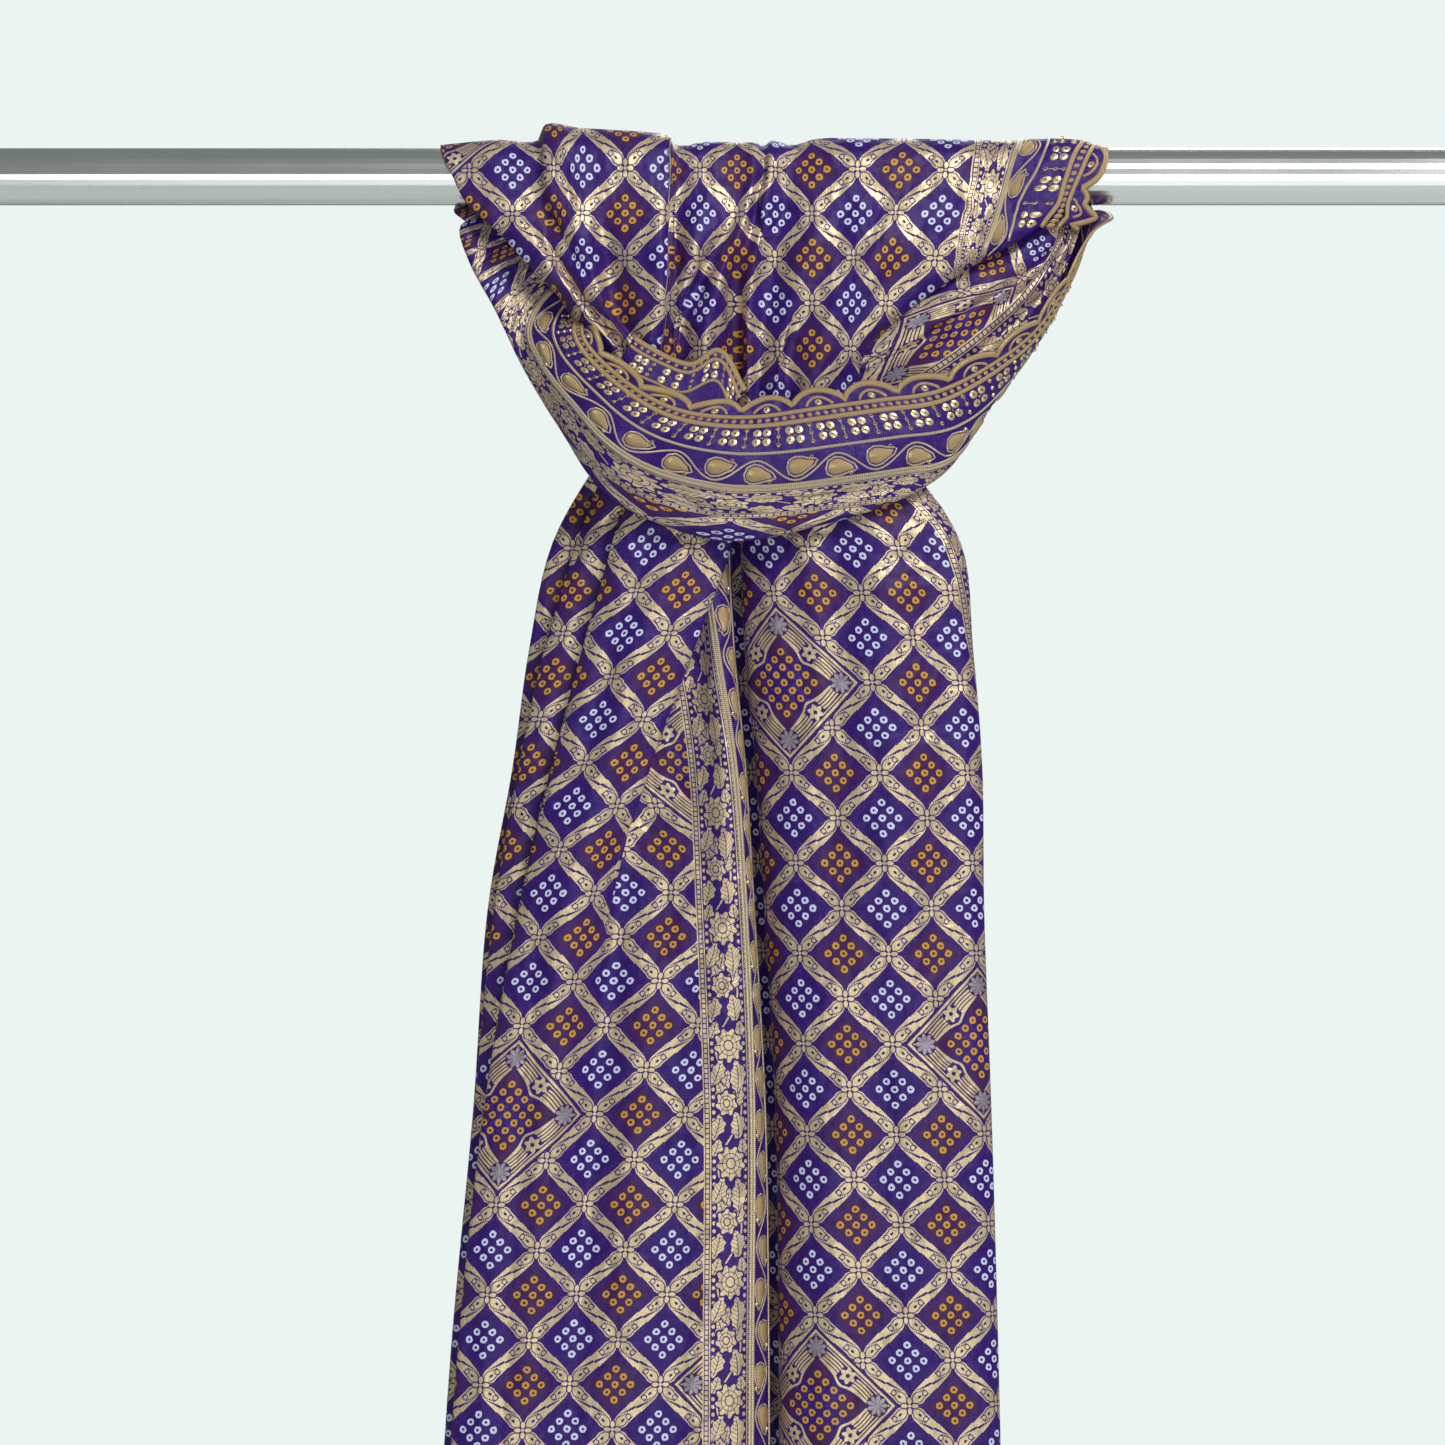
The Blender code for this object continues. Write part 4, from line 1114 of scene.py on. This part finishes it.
# Small ripples take up cloth across the loop, more beyond the trims and at its left
LOOP_TAKEN = (
    # section, length taken for each length shown within the trims, and beyond them
    (0, 1.42, 2.0),
    (6, 1.42, 2.0),
    (7, 1.25, 2.0),
    (8, 1.1, 2.1),
    (9, 1.0, 2.1),
    (12, 1.0, 2.0),
    (20, 1.0, 1.6),
)
TRIMS_END = 44.0
for j, lengths in enumerate(loop_drape.u):
    k = j / LOOP_FINE
    row = next(n for n in range(len(LOOP_TAKEN) - 1) if k <= LOOP_TAKEN[n + 1][0])
    share = (k - LOOP_TAKEN[row][0]) / (LOOP_TAKEN[row + 1][0] - LOOP_TAKEN[row][0])
    within = LOOP_TAKEN[row][1] * (1 - share) + LOOP_TAKEN[row + 1][1] * share
    beyond = LOOP_TAKEN[row][2] * (1 - share) + LOOP_TAKEN[row + 1][2] * share
    turn = TRIMS_END / within
    loop_drape.u[j] = [min(x, turn) * within + max(0.0, x - turn) * beyond for x in lengths]

LOOP_CROSSING = (20.0, 102.0)  # v and u of a place where leaves cross


def loop_field(j, i, at_u, at_v):
    """The lattice's lengths on the loop, along it and in from its edge."""
    return (at_v - LOOP_CROSSING[0], at_u - LOOP_CROSSING[1])


loop = cloth_piece("loop_cloth", loop_drape, loop_field, brocade)
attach(loop, "root")
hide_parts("loop")
loop_start = 3 * SCALLOP_PITCH
loop_end = 17 * SCALLOP_PITCH
loop_scallops = scallops("loop_scallops", loop_drape, loop_start, loop_end, "loop_lace")
lay_trims("loop", loop_drape, loop_start, loop_end)

# The inner layer: three rolls that fan from the rod's right end down behind the loop's edge.
# Each row is a fold line from the rod down to its hidden end.

INNER_FOLDS = (
    ((184, -12, -21), (158, -15, -34), (131, -16, -44), (104, -17, -62), (74, -16, -86), (42, -12, -110)),
    ((193, -14, -21), (178, -19, -42), (157, -23, -57), (135, -25, -72), (104, -25, -92), (60, -15, -118)),
    ((197, -11, -21), (186, -14, -41), (166, -18, -60), (142, -21, -74), (113, -22, -93), (70, -17, -121)),
    ((200, -13, -22), (188, -18, -47), (170, -24, -65), (148, -28, -82), (120, -30, -100), (82, -21, -124)),
    ((200, -10, -22), (189, -15, -52), (174, -20, -73), (154, -25, -92), (130, -29, -111), (94, -28, -128)),
    ((202, -10, -23), (191, -17, -53), (178, -24, -77), (158, -30, -97), (135, -34, -115), (102, -35, -132)),
)
inner_sections = [[Vector(line[k]) for line in reversed(INNER_FOLDS)] for k in range(6)]
INNER_EDGE = 58.0  # from the lace edge to its first fold line
inner_drape = Drape(smooth_grid(inner_sections, [6] * 5, [8] * 5), u_start=INNER_EDGE)

# A medallion lies on the middle roll, at the point of the cloth nearest to this place
INNER_MEDALLION = (129.0, -90.0)
nearest = NO_HEM
for row, lengths, at_v in zip(inner_drape.grid, inner_drape.u, inner_drape.v):
    for point, at_u in zip(row, lengths):
        gap = math.hypot(point.x - INNER_MEDALLION[0], point.z - INNER_MEDALLION[1])
        if gap < nearest:
            nearest = gap
            medallion_u = at_u
            medallion_v = at_v


def inner_field(j, i, at_u, at_v):
    """The lattice's lengths on the inner layer, from its medallion's middle."""
    return (at_v - medallion_v, (at_u - medallion_u) * 1.25)


inner = cloth_piece("inner_cloth", inner_drape, inner_field, brocade, medallions=((0, 0),))
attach(inner, "root")
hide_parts("loop_inner")

# The two tails hang from the hitch in flat folds. Each row is a fold line down the tail,
# and each section goes round from the lace edge inwards.

NECK = -151.4
HEM_LEFT = -852.0
HEM_RIGHT = -846.0
TAIL_HEIGHTS = (NECK, -205, -265, -330, -410, -520, -660, -850)
TAIL_LEFT_FOLDS = (
    ("lace_edge", (10, 5, 7, 13, 18, 24, 26, 26), (-4, -5, -6, -6, -6, -6, -6, -6)),
    ("flank", (9, 4, 6, 12, 17, 23, 25, 25), (-10, -13, -16, -18, -18, -18, -18, -18)),
    ("corner", (5, 0, 3, 9, 14, 17, 15, 13), (-16, -22, -28, -32, -33, -34, -34, -34)),
    ("band", (-1, -6, -4, 1, 4, 4, 0, -3), (-17, -24, -31, -36, -38, -40, -40, -40)),
    ("pocket", (-10, -15, -13, -13, -14, -20, -25, -28), (-16, -20, -23, -27, -33, -38, -39, -39)),
    ("pleat_turn", (-20, -25, -36, -55, -53, -48, -58, -62), (-18, -21, -22, -24, -30, -36, -38, -38)),
    ("pleat_under", (-10, -14, -31, -53, -60, -64, -76, -82), (-21, -26, -28, -30, -32, -35, -37, -38)),
    ("pleat_edge", (8, 5, -16, -40, -63, -78, -88, -92), (-24, -30, -34, -38, -37, -37, -38, -39)),
    ("panel_right", (0, -6, -28, -52, -75, -92, -105, -112), (-29, -35, -40, -43, -43, -42, -42, -42)),
    ("panel", (-20, -30, -46, -66, -88, -108, -122, -132), (-31, -37, -43, -46, -46, -44, -43, -43)),
    ("panel_left", (-38, -51, -67, -84, -104, -123, -137, -149), (-28, -34, -40, -42, -42, -41, -40, -40)),
    ("fold_b", (-49, -61, -78, -95, -113, -132, -147, -158), (-22, -28, -34, -37, -37, -36, -35, -35)),
    ("under_b", (-44, -55, -71, -87, -105, -124, -140, -151), (-18, -24, -29, -32, -32, -31, -30, -30)),
    ("turn_b", (-36, -45, -60, -76, -94, -114, -131, -142), (-15, -20, -25, -28, -28, -27, -26, -26)),
    ("strip_m", (-53, -70, -88, -104, -118, -132, -145, -156), (-12, -17, -22, -25, -25, -24, -22, -22)),
    ("fold_a", (-61, -81, -99, -113, -127, -138, -151, -162), (-8, -13, -18, -21, -21, -20, -18, -18)),
    ("under_a", (-54, -72, -90, -104, -118, -130, -144, -155), (-4, -8, -13, -16, -16, -15, -13, -13)),
    ("turn_a", (-44, -60, -78, -92, -106, -119, -134, -145), (-1, -4, -9, -12, -12, -11, -9, -9)),
    ("strip_o", (-57, -84, -100, -111, -125, -134, -148, -159), (1.5, -1, -6, -9, -9, -8, -5, -5)),
    ("outline", (-65, -95, -108, -117, -131, -139, -152, -164), (6, 3, -2, -5, -5, -4, -1, -1)),
    ("back_left", (-58, -86, -98, -107, -120, -129, -142, -154), (10, 8, 4, 2, 2, 3, 5, 5)),
    ("back", (-28, -40, -46, -50, -54, -56, -62, -68), (12, 12, 11, 10, 10, 10, 12, 12)),
    ("back_right", (-14, -20, -18, -12, -8, -2, 0, 0), (11, 11, 11, 11, 11, 11, 12, 12)),
    ("inner_turn", (-9, -14, -12, -6, -2, 4, 6, 6), (7, 7, 7, 7, 7, 7, 8, 8)),
    ("inner", (-15, -22, -19, -13, -9, -3, -1, -1), (3, 3, 3, 3, 3, 3, 4, 4)),
    ("inner_end", (-30, -46, -54, -60, -66, -72, -84, -90), (5, 4, 2, 1, 0, 0, 2, 2)),
)
TAIL_RIGHT_FOLDS = (
    ("lace_edge", (52, 72, 80, 84, 85, 88, 92, 96), (-13, -16, -18, -20, -21, -21, -21, -21)),
    ("border", (72, 104, 111, 115, 116, 120, 124, 128), (-13, -17, -20, -22, -23, -23, -23, -23)),
    ("outline_back", (91, 126, 133, 137, 138, 142, 146, 150), (-12, -17, -20, -22, -23, -23, -23, -23)),
    ("outline", (96, 132, 139, 144, 145, 149, 153, 157), (-16, -22, -25, -27, -29, -29, -29, -29)),
    ("front_turn", (90, 126, 133, 137, 138, 142, 146, 150), (-22, -30, -33, -35, -37, -37, -37, -37)),
    ("front_right", (72, 103, 110, 114, 115, 119, 123, 127), (-27, -35, -39, -41, -42, -42, -42, -42)),
    ("front", (50, 72, 80, 84, 86, 88, 91, 93), (-29, -37, -42, -44, -45, -45, -44, -44)),
    ("front_left", (34, 46, 50, 54, 57, 60, 62, 63), (-27, -34, -38, -40, -41, -41, -41, -41)),
    ("flank_front", (20, 21, 25, 31, 35, 41, 43, 43), (-20, -24, -28, -30, -32, -33, -34, -34)),
    ("flank", (14.5, 11, 13, 19, 24, 30, 32, 32), (-8, -12, -15, -16, -18, -18, -20, -20)),
    ("flank_back", (17, 12, 14, 20, 25, 31, 33, 33), (1, 1, 1, 1, 1, 1, 1, 1)),
    ("back_turn", (9, 3, 5, 10, 15, 21, 23, 23), (9, 9, 9, 10, 10, 10, 10, 10)),
    ("back", (48, 64, 70, 74, 78, 82, 86, 88), (15, 15, 15, 15, 15, 15, 15, 15)),
    ("back_right", (86, 120, 127, 131, 132, 136, 140, 144), (9, 9, 8, 7, 6, 6, 6, 6)),
    ("outline_2", (93, 129, 136, 140, 141, 145, 149, 153), (3, 2, 0, -2, -3, -3, -3, -3)),
    ("inner_right", (86, 120, 127, 131, 132, 136, 140, 144), (-3, -5, -7, -9, -11, -11, -11, -11)),
    ("inner", (52, 66, 72, 78, 82, 86, 90, 92), (-1, -2, -3, -4, -5, -5, -5, -5)),
    ("inner_left", (32, 32, 36, 42, 46, 52, 54, 54), (-2, -3, -4, -5, -7, -7, -7, -7)),
    ("inner_turn", (25, 23, 27, 33, 37, 43, 45, 45), (-6, -8, -9, -11, -12, -13, -13, -13)),
    ("inner_2", (30, 32, 37, 44, 48, 54, 56, 56), (-11, -14, -15, -17, -18, -19, -19, -19)),
    ("inner_end", (40, 52, 60, 66, 68, 72, 76, 78), (-18, -24, -27, -30, -31, -31, -31, -31)),
)
TAIL_FINE = 5
TAIL_ALONG = (6, 6, 7, 8, 10, 12, 16)


def tail_drape(folds, hem, u_start, reference):
    """A tail through its fold lines, from the neck to the hem, measured along its reference fold."""
    sections = []
    for k, height in enumerate(TAIL_HEIGHTS):
        z = hem if k == len(TAIL_HEIGHTS) - 1 else height
        sections.append([Vector((fold[1][k], fold[2][k], z)) for fold in folds])
    grid = smooth_grid(sections, [TAIL_FINE] * (len(folds) - 1), TAIL_ALONG)
    return Drape(grid, u_start=u_start, reference=reference * TAIL_FINE)


LEFT_PANEL = 9  # the folds that lie on the middle of each tail's front
RIGHT_PANEL = 6
LEFT_EDGE = 13.0  # this much of the left tail's lace edge is tucked away
left_drape = tail_drape(TAIL_LEFT_FOLDS, HEM_LEFT, LEFT_EDGE, LEFT_PANEL)
right_drape = tail_drape(TAIL_RIGHT_FOLDS, HEM_RIGHT, 0.0, RIGHT_PANEL)

# The lattice keeps the plain lengths. The border lies a little closer on the left tail, and turns away
# behind the right tail's outline below its top.
left_plain = [list(lengths) for lengths in left_drape.u]
right_plain = [list(lengths) for lengths in right_drape.u]
for lengths in left_drape.u:
    lengths[:] = [x + max(0.0, x - TRIMS_END) * 0.2 for x in lengths]
for lengths, at_v in zip(right_drape.u, right_drape.v):
    turned = 16.0 * max(0.0, min(1.0, (at_v - 70.0) / 80.0))
    lengths[:] = [x + turned for x in lengths]

left_drape.press((
    {"line": ((-60, -160), (-71, -178), (-86, -220), (-99, -257)), "width": 3.2, "depth": 2.8},
    {"line": ((-52, -176), (-64, -205), (-80, -265), (-97, -330), (-115, -410)),
     "width": 3.2, "depth": 3.0},
    {"line": ((-20, -195), (-44, -260), (-62, -330), (-78, -420)), "width": 7.0, "depth": -2.2},
    {"line": ((-34, -190), (-62, -270), (-84, -350)), "width": 5.0, "depth": 2.6},
    {"line": ((-50, -360), (-59, -424), (-66, -470), (-70, -530), (-79, -610), (-86, -720)),
     "width": 9.0, "depth": 5.0},
    {"line": ((-40, -400), (-44, -480), (-48, -560), (-54, -680)), "width": 9.0, "depth": -2.2},
    {"line": ((-80, -380), (-90, -460), (-98, -560), (-106, -700)), "width": 10.0, "depth": -2.4},
    {"line": ((-100, -400), (-110, -500), (-122, -660), (-130, -800)), "width": 9.0, "depth": 3.0},
    {"line": ((-112, -500), (-126, -610), (-134, -740)), "width": 6.0, "depth": -1.6},
    {"line": ((-20, -560), (-26, -680), (-30, -820)), "width": 7.0, "depth": 1.6},
    {"line": ((-92, -640), (-98, -760), (-104, -846)), "width": 9.0, "depth": 2.2},
    {"line": ((-40, -200), (-62, -340), (-84, -560)), "width": 10.0, "depth": 3.0, "back": True},
    {"line": ((-84, -240), (-104, -420), (-118, -760)), "width": 8.0, "depth": 2.4, "back": True},
    {"line": ((-22, -300), (-24, -520), (-30, -800)), "width": 7.0, "depth": -2.0, "back": True},
))
right_drape.press((
    {"line": ((30, -185), (40, -240), (48, -330)), "width": 5.0, "depth": 1.8},
    {"line": ((58, -176), (66, -230), (64, -330), (62, -430)), "width": 10.0, "depth": 3.6},
    {"line": ((80, -172), (92, -240), (96, -360), (98, -520)), "width": 12.0, "depth": -3.2},
    {"line": ((100, -176), (122, -250), (126, -380), (130, -520)), "width": 8.0, "depth": 2.8},
    {"line": ((84, -430), (88, -540), (86, -690)), "width": 12.0, "depth": 3.2},
    {"line": ((56, -430), (58, -600), (60, -760)), "width": 10.0, "depth": -2.4},
    {"line": ((112, -470), (116, -600), (116, -760)), "width": 11.0, "depth": -2.6},
    {"line": ((120, -600), (128, -720), (134, -840)), "width": 8.0, "depth": 2.0},
    {"line": ((78, -690), (82, -780), (84, -842)), "width": 9.0, "depth": 1.8},
    {"line": ((50, -190), (66, -330), (72, -560)), "width": 10.0, "depth": 2.4, "back": True},
    {"line": ((96, -210), (112, -400), (118, -780)), "width": 9.0, "depth": 2.8, "back": True},
    {"line": ((40, -420), (48, -600), (52, -820)), "width": 7.0, "depth": -2.0, "back": True},
))

# The medallions' middles in the lattice's lengths, first those that show and then those behind
LEFT_MEDALLIONS = ((-25, -275), (125, -425), (75, -75), (-225, -125), (-325, -325), (-425, -525))
RIGHT_MEDALLIONS = (
    (-25, -25), (75, -225), (-25, -425), (75, -625), (-225, -225), (-325, -425), (-225, -625),
)


def left_field(j, i, at_u, at_v):
    """The lattice's lengths on the left tail, across from the panel's fold and up."""
    across = left_plain[j][LEFT_PANEL * TAIL_FINE] - left_plain[j][i]
    return (across - 14.0, 108.0 - at_v)


def right_field(j, i, at_u, at_v):
    """The lattice's lengths on the right tail, where it leans a little."""
    across = right_plain[j][RIGHT_PANEL * TAIL_FINE] - right_plain[j][i]
    return (across - (at_v - 88.0) * 0.027 + DIAGONAL / 2, 88.0 - at_v + DIAGONAL / 2)


tail_left = cloth_piece("tail_left_cloth", left_drape, left_field, brocade, LEFT_MEDALLIONS, True)
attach(tail_left, "root")
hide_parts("tail_left")

tail_right = cloth_piece("tail_right_cloth", right_drape, right_field, brocade, RIGHT_MEDALLIONS, True)
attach(tail_right, "root")
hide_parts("tail_right")

# Of its side's trims only the cord, the vine and the double cord show, down to the hem's own border
left_band_end = left_drape.v[-1] - 90.0
lay_trims("tail_left_band", left_drape, 2.0, left_band_end, from_u=22.0)

# The hems carry the same lace. It is laid on drapes that go up from the hem.

HEM_ROWS = 9


def hem_drape(drape):
    """The lower end of a tail's drape, with its hem as the lace edge."""
    last = len(drape.grid) - 1
    rows = [[drape.grid[last - k][i] for k in range(HEM_ROWS)] for i in range(len(drape.grid[0]))]
    return Drape(rows, flip=drape.flip)


left_hem = hem_drape(left_drape)
left_hem_scallops = scallops("left_hem_scallops", left_hem, 0.0, left_hem.v[-1], "tail_left_hem")
lay_trims("left_hem", left_hem, 0.0, left_hem.v[-1])
right_hem = hem_drape(right_drape)
right_hem_scallops = scallops("right_hem_scallops", right_hem, 0.0, right_hem.v[-1], "tail_right_hem")
lay_trims("right_hem", right_hem, 0.0, right_hem.v[-1])

# The folded-over piece of lace at the left of the loop's upper edge. It is a turned-up stretch of the
# loop's own lace, so it carries the same braid, knots and sequin flowers.

LACE_TURN_SECTIONS = (
    # lower edge, middle and upper edge, left to right
    ((-56, -44.0, -104), (-52, -44.2, -98), (-49, -42.4, -92)),
    ((-52, -46.4, -109), (-46, -45.4, -101), (-43, -44.4, -96)),
    ((-40, -48, -122), (-34, -46.4, -112), (-26, -45.4, -105)),
    ((-24, -48.6, -130), (-20, -47, -118), (-16, -46, -107)),
    ((-8, -48.8, -134), (-4, -47, -117), (-2, -46, -99)),
    ((8, -48.8, -138), (9, -47, -128), (13, -46, -122)),
)
turn_sections = [[Vector(point) for point in reversed(row)] for row in LACE_TURN_SECTIONS]
turn_drape = Drape(smooth_grid(turn_sections, [4, 4], [5] * 5))
lace_turn = cloth_piece("lace_turn_cloth", turn_drape, lambda j, i, at_u, at_v: (at_u, at_v), brocade)
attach(lace_turn, "root")
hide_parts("lace_turn")
turn_braid = Raised()
turn_sequins = Raised()
turn_long = turn_drape.v[-1]
for u, half_width in ((0.8, 1.6), (5.8, 1.2), (17.6, 1.0)):
    turn_braid.cord(turn_drape, [(u, v) for v in steps_of(0.5, turn_long - 0.5, 2.0)], half_width, 1.0)
for v in steps_of(3.0, turn_long - 3.0, KNOT_PITCH):
    turn_braid.dome(turn_drape, 3.3, v, ring_of(1.2, 6), 0.8)
TURN_FLOWER_LINE = 11.8
for v in steps_of(12.0, turn_long - 12.0, 17.0):
    for x, y in CORNERS:
        turn_sequins.dome(turn_drape, TURN_FLOWER_LINE + y * 2.6, v + x * 2.6, ring_of(2.4, 9), 0.6)
    turn_sequins.dome(turn_drape, TURN_FLOWER_LINE, v, ring_of(0.9, 6), 1.3)
    for u in (8.4, TURN_FLOWER_LINE, 15.2):
        turn_braid.dome(turn_drape, u, v + 8.5, ring_of(1.3, 7), 1.2)
turn_braid.piece("lace_turn_braid", thread_gold)
turn_sequins.piece("lace_turn_sequins", foil)
